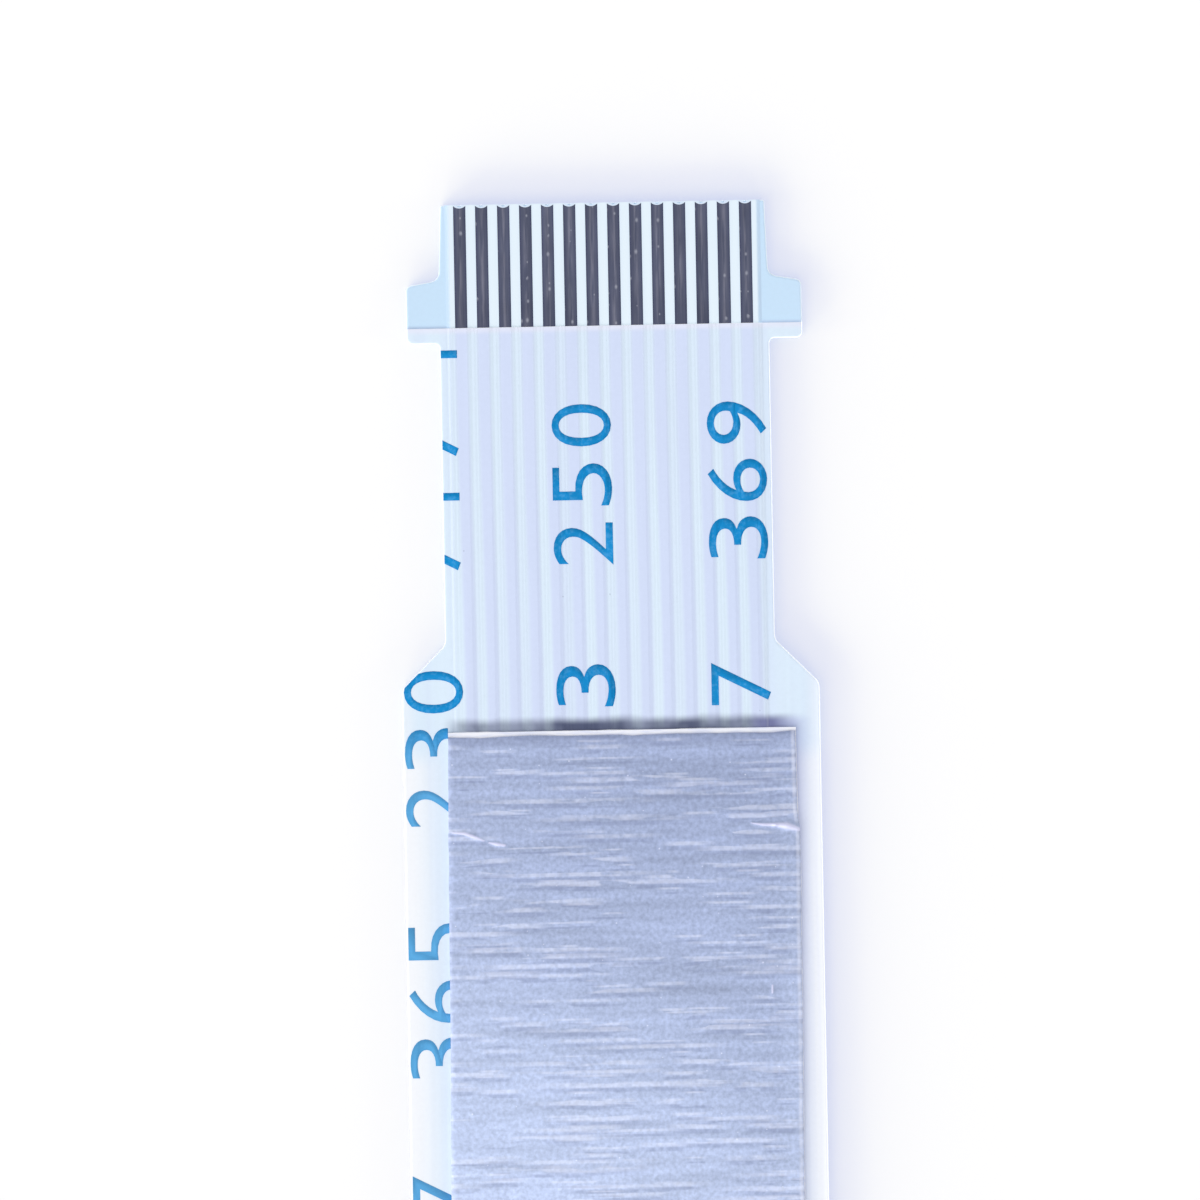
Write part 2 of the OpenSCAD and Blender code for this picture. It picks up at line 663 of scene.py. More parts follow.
class EffectLibrary:
    """Shader node groups that several finishes share."""

    outer_band: ClassVar[Ramp] = Ramp(0.02, -0.08)
    turned_away: ClassVar[Ramp] = Ramp(0.95, 0.6)
    broad_share: ClassVar[float] = 0.23
    speck_sizes: ClassVar[Range] = (0.4, 1.3)
    sway: ClassVar[Cloud] = Cloud((0.3, 0.3, 0.0), 1.0, 7.0)
    grain: ClassVar[Cloud] = Cloud((11.0, 11.0, 4.0))
    drift: ClassVar[Cloud] = Cloud((0.45, 0.3, 0.2))

    def __init__(self, layout: CableLayout) -> None:
        """Builds every group once."""
        self.layout = layout
        self.bands = self._bands()
        self.streaks = self._streaks()
        self.rim = self._rim()
        self.specks = self._specks()
        self.mottle = self._mottle()

    @staticmethod
    def _open(name: str, inputs: dict[str, float], outputs: Sequence[str]) -> tuple[NodeSheet, dict, dict]:
        """Starts a group with number sockets.

        Args:
            name: Name of the group.
            inputs: Inputs and their usual values.
            outputs: Outputs.

        Returns:
            The group's sheet, and its input and output sockets by name.
        """
        tree = bpy.data.node_groups.new(name, "ShaderNodeTree")
        for label, value in inputs.items():
            socket = tree.interface.new_socket(label, in_out="INPUT", socket_type="NodeSocketFloat")
            socket.default_value = value
        for label in outputs:
            tree.interface.new_socket(label, in_out="OUTPUT", socket_type="NodeSocketFloat")
        sheet = NodeSheet(tree)
        entry = sheet.add("NodeGroupInput")
        leave = sheet.add("NodeGroupOutput")
        return sheet, dict(entry.outputs.items()), dict(leave.inputs.items())

    def _bands(self) -> bpy.types.NodeTree:
        """Builds the group that tells where conductors show through a film.

        Returns:
            Group with a mask over the conductors and the distance from the nearest one's centre.
        """
        usual = {"Softness": 0.04, "Shift": 0.0}
        sheet, given, result = self._open("conductor bands", usual, ("Over", "Offset"))
        x, _, _ = sheet.parts(sheet.place())
        x = sheet.math("SUBTRACT", x, given["Shift"])
        turn = sheet.math("FRACT", sheet.math("DIVIDE", x, self.layout.pitch))
        offset = sheet.times(sheet.math("SUBTRACT", turn, 0.5), self.layout.pitch)
        past = sheet.math("SUBTRACT", sheet.size(offset), self.layout.conductor_width / 2)
        over = sheet.step(sheet.math("DIVIDE", past, given["Softness"]), 1.0, -1.0)
        within = sheet.step(sheet.size(x), *self.outer_band.past(self.layout.bed_half))
        sheet.feed(result["Over"], sheet.times(over, within))
        sheet.feed(result["Offset"], offset)
        return sheet.tree

    def _streaks(self) -> bpy.types.NodeTree:
        """Builds the group for marks drawn out in one direction by brushing, rolling or drawing.

        Returns:
            Group with fine and broad streaks around 0.5.
        """
        usual = {"Across": 1.0, "Along": 1.0, "Detail": 3.0, "Sway": 0.0, "Shift": 0.0, "Seed": 0.0}
        sheet, given, result = self._open("drawn streaks", usual, ("Fine", "Broad"))
        x, y = self._swayed(sheet, given)
        for name, share in (("Fine", 1.0), ("Broad", self.broad_share)):
            joined = sheet.add("ShaderNodeCombineXYZ")
            for socket, part, count in zip(joined.inputs, (x, y), (given["Across"], given["Along"])):
                sheet.feed(socket, sheet.times(part, sheet.times(count, share)))
            sheet.feed(joined.inputs[2], given["Seed"])
            sheet.feed(result[name], sheet.cloud(joined.outputs[0], (1.0, 1.0, 1.0), given["Detail"]))
        return sheet.tree

    def _rim(self) -> bpy.types.NodeTree:
        """Builds the group that finds cut edges, where a face turns away from flat.

        Returns:
            Group with a mask that is 1 on a cut edge.
        """
        sheet, given, result = self._open("cut rim", {"Strength": 1.0}, ("Rim",))
        _, _, up = sheet.parts(sheet.add("ShaderNodeNewGeometry").outputs["Normal"])
        turned = sheet.step(sheet.size(up), *self.turned_away)
        sheet.feed(result["Rim"], sheet.times(turned, given["Strength"], clamp=True))
        return sheet.tree

    def _specks(self) -> bpy.types.NodeTree:
        """Builds the group for sparse specks and scratches.

        Returns:
            Group with a mask of soft marks, drawn out where the counts across and along differ,
            and the more even in width the higher Evenness is.
        """
        usual = {"Across": 2.0, "Along": 2.0, "Size": 0.2, "Core": 0.0, "Share": 0.2}
        usual |= {"Evenness": 2.0, "Sway": 0.0, "Shift": 0.0, "Seed": 0.0}
        sheet, given, result = self._open("specks", usual, ("Speck",))
        x, y = self._swayed(sheet, given)
        joined = sheet.add("ShaderNodeCombineXYZ")
        for socket, part, count in zip(joined.inputs, (x, y), (given["Across"], given["Along"])):
            sheet.feed(socket, sheet.math("ADD", sheet.times(part, count), given["Seed"]))
        cells = sheet.add("ShaderNodeTexVoronoi", voronoi_dimensions="2D", distance="MINKOWSKI")
        sheet.feed(cells.inputs["Exponent"], given["Evenness"])
        sheet.feed(cells.inputs["Vector"], joined.outputs[0])
        sheet.feed(cells.inputs["Scale"], 1.0)
        chance, width, _ = sheet.parts(cells.outputs["Color"])
        size = sheet.times(given["Size"], sheet.spread(width, *self.speck_sizes))
        dot = sheet.step(sheet.math("DIVIDE", cells.outputs["Distance"], size), 1.0, given["Core"])
        chosen = sheet.math("LESS_THAN", chance, given["Share"])
        sheet.feed(result["Speck"], sheet.times(dot, chosen))
        return sheet.tree

    def _swayed(self, sheet: NodeSheet, given: dict[str, Socket]) -> tuple[Socket, Socket]:
        """Gives the place on the cable with its distance along swayed and shifted.

        Args:
            sheet: Sheet of the group.
            given: The group's inputs, with Sway and Shift among them.

        Returns:
            Place across and along, in millimetres.
        """
        place = sheet.place()
        x, y, _ = sheet.parts(place)
        bend = sheet.spread(sheet.cloud(place, *self.sway), -1.0, 1.0)
        moved = sheet.math("ADD", sheet.times(bend, given["Sway"]), given["Shift"])
        return x, sheet.math("ADD", y, moved)

    def _mottle(self) -> bpy.types.NodeTree:
        """Builds the group for the fine grain and slow drift of a film.

        Returns:
            Group with grain and drift around 0.5.
        """
        sheet, given, result = self._open("film mottle", {"Seed": 0.0}, ("Grain", "Drift"))
        moved = sheet.add("ShaderNodeVectorMath", operation="ADD")
        sheet.feed(moved.inputs[0], sheet.place())
        sheet.feed(moved.inputs[1], given["Seed"])
        sheet.feed(result["Grain"], sheet.cloud(moved.outputs[0], *self.grain))
        sheet.feed(result["Drift"], sheet.cloud(moved.outputs[0], *self.drift))
        return sheet.tree


class Look(NamedTuple):
    """What a finish hands to its shader: a colour, and patterns for roughness, relief and glow."""

    colour: Socket
    rough: Socket
    raised: Socket | None = None
    glow: Socket | None = None


@dataclass(frozen=True)
class Finish:
    """A surface finish that becomes one material, with relief in millimetres."""

    surface: ClassVar[Surface]
    roughness: Range = (0.4, 0.6)
    metallic: float = 0.0
    specular: float = 0.5
    relief: float = 0.0
    glow: float = 0.0

    def material(self, effects: EffectLibrary) -> bpy.types.Material:
        """Makes the material.

        Args:
            effects: Shared effects.

        Returns:
            The wired material.
        """
        made = bpy.data.materials.new(self.surface.label)
        sheet = NodeSheet.on(made)
        shader = sheet.add("ShaderNodeBsdfPrincipled")
        out = sheet.add("ShaderNodeOutputMaterial")
        sheet.feed(out.inputs["Surface"], shader.outputs["BSDF"])
        look = self.wire(sheet, effects)
        sheet.feed(shader.inputs["Base Color"], look.colour)
        sheet.feed(shader.inputs["Roughness"], sheet.spread(look.rough, *self.roughness))
        shader.inputs["Metallic"].default_value = self.metallic
        shader.inputs["Specular IOR Level"].default_value = self.specular
        if look.raised is not None:
            sheet.feed(shader.inputs["Normal"], sheet.bump(look.raised, self.relief))
        if look.glow is not None:
            sheet.feed(shader.inputs["Emission Color"], look.glow)
            shader.inputs["Emission Strength"].default_value = self.glow
        return made

    def wire(self, sheet: NodeSheet, effects: EffectLibrary) -> Look:
        """Wires the finish's patterns."""
        raise NotImplementedError


@dataclass(frozen=True)
class FrontFilmFinish(Finish):
    """White polyester film that the conductors show through, with dirt and a painted shadow along the
    shield's ends, a painted shadow beside the tape and rims painted pale as highlights.
    """

    surface = Surface.FRONT_FILM
    roughness: Range = (0.36, 0.5)
    specular: float = 0.35
    relief: float = 0.0012
    glow: float = 0.3
    open_margin: Colour = srgb(249, 251, 255)
    inner_margin: Colour = srgb(224, 238, 252)
    over_stiffener: Colour = srgb(223, 239, 253)
    over_conductor: Colour = srgb(213, 224, 250)
    cut_end: Colour = srgb(234, 236, 252)
    # Pale colour painted on the rims as a highlight, which they also glow with
    rim: Colour = srgb(249, 252, 255)
    # Dark colour of the dirt, glue and painted shadow at the shield's ends, also used for dust specks
    dirt_and_shadow: Colour = srgb(74, 82, 112)
    tape_shadow: Colour = srgb(150, 152, 210)
    dust_level: float = 0.35
    streak_share: float = 0.03
    drift_share: float = 0.015
    grain_share: float = 0.025
    band_slant: Ramp = Ramp(36.5, 28.5, 0.0, 0.085)
    band_strength: Range = (0.0, 1.8)
    margin_fade: Ramp = Ramp(3.7, 4.75)
    side_fade: Ramp = Ramp(4.35, 4.7, 0.0, 0.45)
    stiffened: Ramp = Ramp(-0.4, 0.25)
    paler_by_cut_end: Ramp = Ramp(-0.18, -0.03, 0.0, 0.75)
    # Painted highlight: glow along the film's right edge, and how much of the glow each side keeps
    side_glow: Ramp = Ramp(4.6, 4.7, 0.0, 0.2)
    lit_side: Ramp = Ramp(-2.0, 2.0, 0.25, 1.0)
    tape_shadow_inner: Ramp = Ramp(3.0, 3.5)
    tape_shadow_outer: Ramp = Ramp(4.66, 4.1, 0.0, 0.45)
    tape_shadow_start: Ramp = Ramp(0.35, 0.1)
    tape_shadow_fade: Ramp = Ramp(14.0, 27.0, 0.4, 1.0)
    dirt_shadow_edge: Cloud = Cloud((1.1, 0.02, 0.0), 3.0, 4.0)
    dirt_shadow_reach: Range = (0.25, 0.5)
    dirt_shadow_fade: Ramp = Ramp(1.0, 0.34)
    dirt_shadow_patches: Cloud = Cloud((0.9, 0.7, 0.0), 3.0, 9.0)
    dirt_shadow_depth: Ramp = Ramp(0.36, 0.64, 0.64, 1.0)
    dirt_shadow_start: Ramp = Ramp(-0.06, 0.0)
    dirt_shadow_left: Ramp = Ramp(-3.9, -3.2)
    dirt_shadow_right: Ramp = Ramp(4.3, 3.6)

    def wire(self, sheet: NodeSheet, effects: EffectLibrary) -> Look:
        """Wires the film's bands and streaks, the dirt with a painted shadow at the shield's ends, the
        painted shadow beside the tape, and the rims painted pale and glowing as highlights.
        """
        layout = effects.layout
        x, y, _ = sheet.parts(sheet.place())
        across, along = sheet.size(x), sheet.size(y)
        bands = sheet.effect(effects.bands, Softness=0.06, Shift=sheet.step(y, *self.band_slant))
        mottle = sheet.effect(effects.mottle, Seed=3.0)
        streaks = sheet.effect(effects.streaks, Across=7.0, Along=0.12, Seed=2.0)
        rim = sheet.effect(effects.rim, Strength=0.9)
        dust = sheet.effect(effects.specks, Across=0.9, Along=0.9, Size=0.02, Share=0.06, Seed=5.0)
        colour = sheet.blend(sheet.step(across, *self.margin_fade), self.inner_margin, self.open_margin)
        stiffened = sheet.step(along, *self.stiffened.past(layout.stiffener_y))
        colour = sheet.blend(stiffened, colour, self.over_stiffener)
        colour = sheet.blend(sheet.step(across, *self.side_fade), colour, self.open_margin)
        between = sheet.math("SUBTRACT", 1.0, bands["Over"])
        uneven = sheet.times(between, sheet.spread(streaks["Broad"], *self.band_strength), clamp=True)
        colour = sheet.blend(uneven, self.over_conductor, colour)
        # Paler band just inside the film's cut ends
        paler_by_cut_end = sheet.step(along, *self.paler_by_cut_end.past(layout.film_end_y))
        colour = sheet.blend(paler_by_cut_end, colour, self.cut_end)
        colour = sheet.vary(colour, streaks["Fine"], self.streak_share)
        colour = sheet.vary(colour, mottle["Drift"], self.drift_share)
        colour = sheet.vary(colour, mottle["Grain"], self.grain_share)
        # Dirt and glue at the shield's ends, with the shadow under the tape's lifted edge painted in
        colour = sheet.blend(self.dirt_and_shadow_band(sheet, layout), colour, self.dirt_and_shadow)
        # Painted shadow of the tape along its right side
        colour = sheet.blend(self.tape_shadow_mask(sheet, layout), colour, self.tape_shadow)
        # Painted highlight: the rims are blended towards a pale colour
        colour = sheet.blend(rim["Rim"], colour, self.rim)
        colour = sheet.blend(sheet.times(dust["Speck"], self.dust_level), colour, self.dirt_and_shadow)
        # Painted highlight: the rims and the film's right edge glow, less towards the left side
        glow = sheet.math("ADD", rim["Rim"], sheet.step(x, *self.side_glow), clamp=True)
        glow = sheet.times(glow, sheet.step(x, *self.lit_side))
        return Look(colour, streaks["Broad"], mottle["Grain"], sheet.dim(self.rim, glow))

    def tape_shadow_mask(self, sheet: NodeSheet, layout: CableLayout) -> Socket:
        """Finds the faint shadow of the tape, painted on the film along the tape's right side.

        Args:
            sheet: Sheet of the film's material.
            layout: Places on the cable.

        Returns:
            Mask of the painted shadow.
        """
        x, y, _ = sheet.parts(sheet.place())
        along = sheet.size(y)
        beside = sheet.times(sheet.step(x, *self.tape_shadow_inner), sheet.step(x, *self.tape_shadow_outer))
        before = sheet.step(along, *self.tape_shadow_start.past(layout.shield_y))
        return sheet.times(beside, before, sheet.step(along, *self.tape_shadow_fade))

    def dirt_and_shadow_band(self, sheet: NodeSheet, layout: CableLayout) -> Socket:
        """Finds the dark band against the shield's two ends: dirt and glue, with the shadow under the tape's
        lifted ends painted in.

        Args:
            sheet: Sheet of the film's material.
            layout: Places on the cable.

        Returns:
            Mask of the smudge.
        """
        place = sheet.place()
        x, y, _ = sheet.parts(place)
        away = sheet.math("SUBTRACT", sheet.size(y), layout.shield_y)
        reach = sheet.spread(sheet.cloud(place, *self.dirt_shadow_edge), *self.dirt_shadow_reach)
        fade = sheet.step(sheet.math("DIVIDE", away, reach), *self.dirt_shadow_fade)
        depth = sheet.step(sheet.cloud(place, *self.dirt_shadow_patches), *self.dirt_shadow_depth)
        across = sheet.times(sheet.step(x, *self.dirt_shadow_left), sheet.step(x, *self.dirt_shadow_right))
        return sheet.times(fade, depth, across, sheet.step(away, *self.dirt_shadow_start), clamp=True)


@dataclass(frozen=True)
class BackFilmFinish(Finish):
    """Back film, light blue where the stiffener lies under it and banded where it lies open."""

    surface = Surface.BACK_FILM
    roughness: Range = (0.38, 0.52)
    specular: float = 0.35
    relief: float = 0.0012
    glow: float = 0.1
    over_stiffener: Colour = srgb(203, 229, 251)
    clear: Colour = srgb(232, 239, 252)
    over_conductor: Colour = srgb(216, 225, 247)
    cut_edge_shadow: Colour = srgb(176, 190, 222)
    rim: Colour = srgb(240, 248, 255)
    drift_share: float = 0.02
    grain_share: float = 0.025
    band_strength: Range = (0.6, 1.4)
    stiffened: Ramp = Ramp(-0.03, 0.03)
    shadow_past_film_end: Ramp = Ramp(0.09, 0.0, 0.0, 0.45)

    def wire(self, sheet: NodeSheet, effects: EffectLibrary) -> Look:
        """Wires the stiffened ends, the bands between them, the painted shadow line past the front film's
        end, and the rims painted pale and glowing as highlights.
        """
        layout = effects.layout
        bands = sheet.effect(effects.bands, Softness=0.06)
        mottle = sheet.effect(effects.mottle, Seed=11.0)
        rim = sheet.effect(effects.rim, Strength=0.9)
        streaks = sheet.effect(effects.streaks, Across=6.0, Along=0.1, Seed=19.0)
        _, y, _ = sheet.parts(sheet.place())
        along = sheet.size(y)
        uneven = sheet.times(bands["Over"], sheet.spread(streaks["Fine"], *self.band_strength))
        colour = sheet.blend(uneven, self.clear, self.over_conductor)
        stiffened = sheet.step(along, *self.stiffened.past(layout.stiffener_y))
        colour = sheet.blend(stiffened, colour, self.over_stiffener)
        past_film = sheet.math("SUBTRACT", along, layout.film_end_y)
        # Painted shadow: a thin darker line just past the front film's cut end
        colour = sheet.blend(sheet.step(past_film, *self.shadow_past_film_end), colour, self.cut_edge_shadow)
        colour = sheet.vary(colour, mottle["Drift"], self.drift_share)
        colour = sheet.vary(colour, mottle["Grain"], self.grain_share)
        # Painted highlight: the rims are blended pale and glow
        colour = sheet.blend(rim["Rim"], colour, self.rim)
        return Look(colour, mottle["Grain"], mottle["Grain"], sheet.dim(self.rim, rim["Rim"]))


@dataclass(frozen=True)
class StiffenerFinish(Finish):
    """Light blue polyester sheet with paler, slightly torn cut edges."""

    surface = Surface.STIFFENER
    roughness: Range = (0.4, 0.56)
    specular: float = 0.4
    relief: float = 0.002
    sheet_blue: Colour = srgb(168, 207, 246)
    rim: Colour = srgb(206, 229, 251)
    scuff_level: float = 0.4
    drift_share: float = 0.05
    streak_share: float = 0.03

    def wire(self, sheet: NodeSheet, effects: EffectLibrary) -> Look:
        """Wires the sheet's grain, rolled streaks, scuffs and cut edges."""
        mottle = sheet.effect(effects.mottle, Seed=23.0)
        streaks = sheet.effect(effects.streaks, Across=0.35, Along=9.0, Seed=6.0)
        rim = sheet.effect(effects.rim, Strength=0.8)
        scuffs = sheet.effect(effects.specks, Across=1.4, Along=1.4, Size=0.05, Share=0.25, Seed=8.0)
        colour = sheet.vary(self.sheet_blue, mottle["Drift"], self.drift_share)
        colour = sheet.vary(colour, streaks["Fine"], self.streak_share)
        pale = sheet.math("MAXIMUM", rim["Rim"], sheet.times(scuffs["Speck"], self.scuff_level))
        return Look(sheet.blend(pale, colour, self.rim), streaks["Fine"], mottle["Grain"])


@dataclass(frozen=True)
class AdhesiveFinish(Finish):
    """White bonding adhesive that shows as bars between the contacts."""

    surface = Surface.ADHESIVE
    roughness: Range = (0.5, 0.66)
    specular: float = 0.3
    relief: float = 0.002
    white: Colour = srgb(232, 245, 254)
    shaded: Colour = srgb(214, 229, 250)
    thin: Colour = srgb(205, 228, 250)
    shade_level: float = 0.8
    streak_share: float = 0.025
    thinned: Ramp = Ramp(-0.04, 0.04)

    def wire(self, sheet: NodeSheet, effects: EffectLibrary) -> Look:
        """Wires the bars' paler middles and rolled streaks."""
        mottle = sheet.effect(effects.mottle, Seed=31.0)
        streaks = sheet.effect(effects.streaks, Across=10.0, Along=0.5, Seed=12.0)
        bands = sheet.effect(effects.bands, Softness=0.09)
        rim = sheet.effect(effects.rim, Strength=0.5)
        colour = sheet.blend(sheet.times(bands["Over"], self.shade_level), self.white, self.shaded)
        colour = sheet.vary(colour, streaks["Fine"], self.streak_share)
        # Painted highlight: the bars' rounded edges are blended white
        colour = sheet.blend(rim["Rim"], colour, self.white)
        x, _, _ = sheet.parts(sheet.place())
        side = sheet.math("SUBTRACT", sheet.size(x), effects.layout.bed_half)
        colour = sheet.blend(sheet.step(side, *self.thinned), colour, self.thin)
        return Look(colour, mottle["Grain"], streaks["Fine"])


@dataclass(frozen=True)
class ContactFinish(Finish):
    """Tinned copper painted dark as a reflection, drawn lengthwise, with edges painted darker as shade, a
    worn middle painted lighter as a highlight, painted shade near the film's end and a few bright nicks.
    """

    surface = Surface.CONTACT
    roughness: Range = (0.24, 0.46)
    metallic: float = 1.0
    relief: float = 0.004
    # Painted reflection: the tin is made dark, as it looks when it mirrors the dark camera above it
    dark_reflected_tin: Colour = srgb(81, 85, 105)
    worn: Colour = srgb(110, 111, 127)
    # Colour of the contact's edges, painted darker as shade
    edge: Colour = srgb(70, 74, 98)
    nick: Colour = srgb(158, 160, 172)
    nick_level: float = 0.7
    streak_share: float = 0.34
    stain_share: float = 0.2
    stains: Cloud = Cloud((1.6, 1.4, 0.0), 2.0, 71.0)
    worn_highlight_width: Ramp = Ramp(0.09, 0.0)
    worn_highlight_streaks: Ramp = Ramp(0.38, 0.66)
    edge_shade_width: Ramp = Ramp(0.08, 0.135)
    shade_at_film_end: Ramp = Ramp(1.0, 0.1, 1.0, 0.92)

    def wire(self, sheet: NodeSheet, effects: EffectLibrary) -> Look:
        """Wires the drawn streaks, the edges painted dark as shade, the worn middle painted light as a
        highlight, the painted shade near the film and the nicks.
        """
        bands = sheet.effect(effects.bands, Softness=0.05)
        streaks = sheet.effect(effects.streaks, Across=17.0, Along=0.9, Seed=17.0)
        nicks = sheet.effect(effects.specks, Across=6.0, Along=4.0, Size=0.26, Share=0.22, Seed=2.5)
        place = sheet.place()
        gap = sheet.size(bands["Offset"])
        # Worn middle, painted lighter as a highlight and broken up by the streaks
        rubbed = sheet.step(streaks["Fine"], *self.worn_highlight_streaks)
        middle = sheet.times(sheet.step(gap, *self.worn_highlight_width), rubbed)
        # Painted shade: the contact's edges beside the bars are darker
        colour = sheet.blend(sheet.step(gap, *self.edge_shade_width), self.dark_reflected_tin, self.edge)
        colour = sheet.blend(middle, colour, self.worn)
        colour = sheet.vary(colour, streaks["Broad"], self.streak_share)
        colour = sheet.vary(colour, sheet.cloud(place, *self.stains), self.stain_share)
        _, y, _ = sheet.parts(place)
        past_film = sheet.math("SUBTRACT", sheet.size(y), effects.layout.film_end_y)
        # Painted shade: darker towards the front film's cut end, which shades the contacts
        colour = sheet.dim(colour, sheet.step(past_film, *self.shade_at_film_end))
        colour = sheet.blend(sheet.times(nicks["Speck"], self.nick_level), colour, self.nick)
        return Look(colour, streaks["Fine"], streaks["Fine"])


@dataclass(frozen=True)
class BackingFinish(Finish):
    """White backing of the shield tape, slightly fibrous where it is torn off."""

    surface = Surface.BACKING
    roughness: Range = (0.6, 0.8)
    specular: float = 0.25
    relief: float = 0.006
    white: Colour = srgb(247, 248, 255)
    shaded: Colour = srgb(230, 234, 252)
    fibres: Ramp = Ramp(0.6, 0.3)

    def wire(self, sheet: NodeSheet, effects: EffectLibrary) -> Look:
        """Wires the fibres of the torn edge."""
        streaks = sheet.effect(effects.streaks, Across=2.2, Along=14.0, Seed=21.0)
        mottle = sheet.effect(effects.mottle, Seed=41.0)
        colour = sheet.blend(sheet.step(streaks["Fine"], *self.fibres), self.white, self.shaded)
        return Look(colour, mottle["Grain"], streaks["Fine"])


@dataclass(frozen=True)
class FoilFinish(Finish):
    """Aluminium foil brushed across the cable and scratched, with a painted sheen, scratches with painted
    lit and shaded sides, painted shade along its ends and painted highlights along its creases.
    """

    surface = Surface.FOIL
    roughness: Range = (0.36, 0.54)
    metallic: float = 1.0
    relief: float = 0.002
    metal: Colour = srgb(177, 189, 217)
    shaded: Colour = srgb(147, 158, 188)
    bright: Colour = srgb(238, 240, 253)
    painted_shade_metal: Colour = srgb(116, 125, 158)
    crease_highlight: Colour = srgb(206, 206, 231)
    scratches_across: tuple[float, ...] = (0.17, 0.29, 0.5)
    scratches_along: float = 5.4
    scratch_width: float = 0.11
    waver_pattern: Cloud = Cloud((0.5, 0.1, 0.0), 1.0, 12.0)
    waver: Range = (-0.016, 0.016)
    dash_pattern: Cloud = Cloud((0.95, 5.0, 0.0), 1.0, 21.0)
    dashes: Ramp = Ramp(0.36, 0.46)
    bead_pattern: Cloud = Cloud((5.5, 6.0, 0.0), 1.0, 33.0)
    beads: Range = (-0.2, 2.2)
    lee_clusters: Cloud = Cloud((0.3, 0.8, 0.0), 1.5, 3.0)
    lit_clusters: Cloud = Cloud((0.3, 0.8, 0.0), 1.5, 8.0)
    cluster_level: Ramp = Ramp(0.36, 0.64, 0.75, 1.1)
    grain_share: float = 0.3
    blotches: Cloud = Cloud((4.0, 6.0, 0.0), 1.0, 45.0)
    blotch_share: float = 0.1
    streak_share: float = 0.2
    glint: float = 0.25
    lee_shade_level: float = 0.36
    fleck_level: float = 0.5
    end_shade_level: float = 0.22
    burnish_patches: Cloud = Cloud((0.0, 3.5, 0.0), 1.0, 52.0)
    burnish_level: Range = (-0.1, 0.55)
    crease_level: Ramp = Ramp(0.2, 1.0, 0.0, 0.85)
    sheen_slant: float = -0.6
    sheen_patches: Cloud = Cloud((0.25, 0.12, 0.0), 2.0, 15.0)
    sheen_wander: Range = (-4.0, 4.0)
    sheen_inward: Ramp = Ramp(-31.0, -13.0)
    sheen_right: Ramp = Ramp(3.5, 4.1, 0.0, 0.2)

    def wire(self, sheet: NodeSheet, effects: EffectLibrary) -> Look:
        """Wires the brushing, the painted sheen, the scratches' painted lit and shaded sides, the rubbed
        right edge, the painted shade along the ends and the creases' painted highlights.
        """
        place = sheet.place()
        mottle = sheet.effect(effects.mottle, Seed=61.0)
        flecks = sheet.effect(effects.specks, Across=3.0, Along=3.0, Size=0.07, Share=0.12, Seed=9.0)
        brushed = sheet.effect(effects.streaks, Across=0.3, Along=4.6, Detail=0.3, Sway=0.06, Seed=27.0)
        rubbed = sheet.spread(sheet.cloud(place, *self.burnish_patches), *self.burnish_level)
        # Painted sheen: blends the shaded metal towards the lighter one
        colour = sheet.blend(self.sheen(sheet), self.shaded, self.metal)
        colour = sheet.vary(colour, mottle["Grain"], self.grain_share)
        colour = sheet.vary(colour, sheet.cloud(place, *self.blotches), self.blotch_share)
        colour = sheet.vary(colour, brushed["Fine"], self.streak_share)
        lee, lit = self.scratched(sheet, effects)
        # Painted light: each scratch's lee side is painted dark and its lit side bright, as a groove would
        # be lit
        colour = sheet.blend(sheet.times(lee, self.lee_shade_level), colour, self.painted_shade_metal)
        colour = sheet.blend(sheet.times(lit, self.glint), colour, self.bright)
        colour = sheet.blend(sheet.times(flecks["Speck"], self.fleck_level), colour, self.bright)
        # Painted shade: the foil is darker in a band along its rolled-down ends
        colour = sheet.blend(sheet.times(sheet.attribute("edge"), self.end_shade_level), colour, self.painted_shade_metal)
        colour = sheet.blend(sheet.times(sheet.attribute("burnish"), rubbed), colour, self.bright)
        # Painted highlight along the creases
        crease = sheet.step(sheet.attribute("crease"), *self.crease_level)
        colour = sheet.blend(crease, colour, self.crease_highlight)
        return Look(colour, brushed["Fine"], brushed["Fine"])

    def scratched(self, sheet: NodeSheet, effects: EffectLibrary) -> tuple[Socket, Socket]:
        """Layers brush scratches that waver, break into dashes and gather in clusters.

        Args:
            sheet: Sheet of the foil's material.
            effects: Shared effects.

        Returns:
            Mask of the scratches' sides painted dark as shade and mask of their sides painted bright as
            highlights.
        """
        place = sheet.place()
        dashes = sheet.step(sheet.cloud(place, *self.dash_pattern), *self.dashes)
        beads = sheet.spread(sheet.cloud(place, *self.bead_pattern), *self.beads)
        broken = sheet.times(dashes, beads)
        waver = sheet.spread(sheet.cloud(place, *self.waver_pattern), *self.waver)
        sides = []
        for lag, pattern in ((self.scratch_width, self.lee_clusters), (0.0, self.lit_clusters)):
            clusters = sheet.step(sheet.cloud(place, *pattern), *self.cluster_level)
            side: Feed = 0.0
            for layer, across in enumerate(self.scratches_across):
                scratches = sheet.effect(
                    effects.specks,
                    Across=across,
                    Along=self.scratches_along,
                    Size=0.38,
                    Core=0.2,
                    Share=0.5,
                    Evenness=5.0,
                    Shift=sheet.math("ADD", waver, lag),
                    Seed=3.3 + 8.1 * layer,
                )
                side = sheet.math("MAXIMUM", scratches["Speck"], side)
            sides.append(sheet.times(broken, clusters, side, clamp=True))
        return sides[0], sides[1]

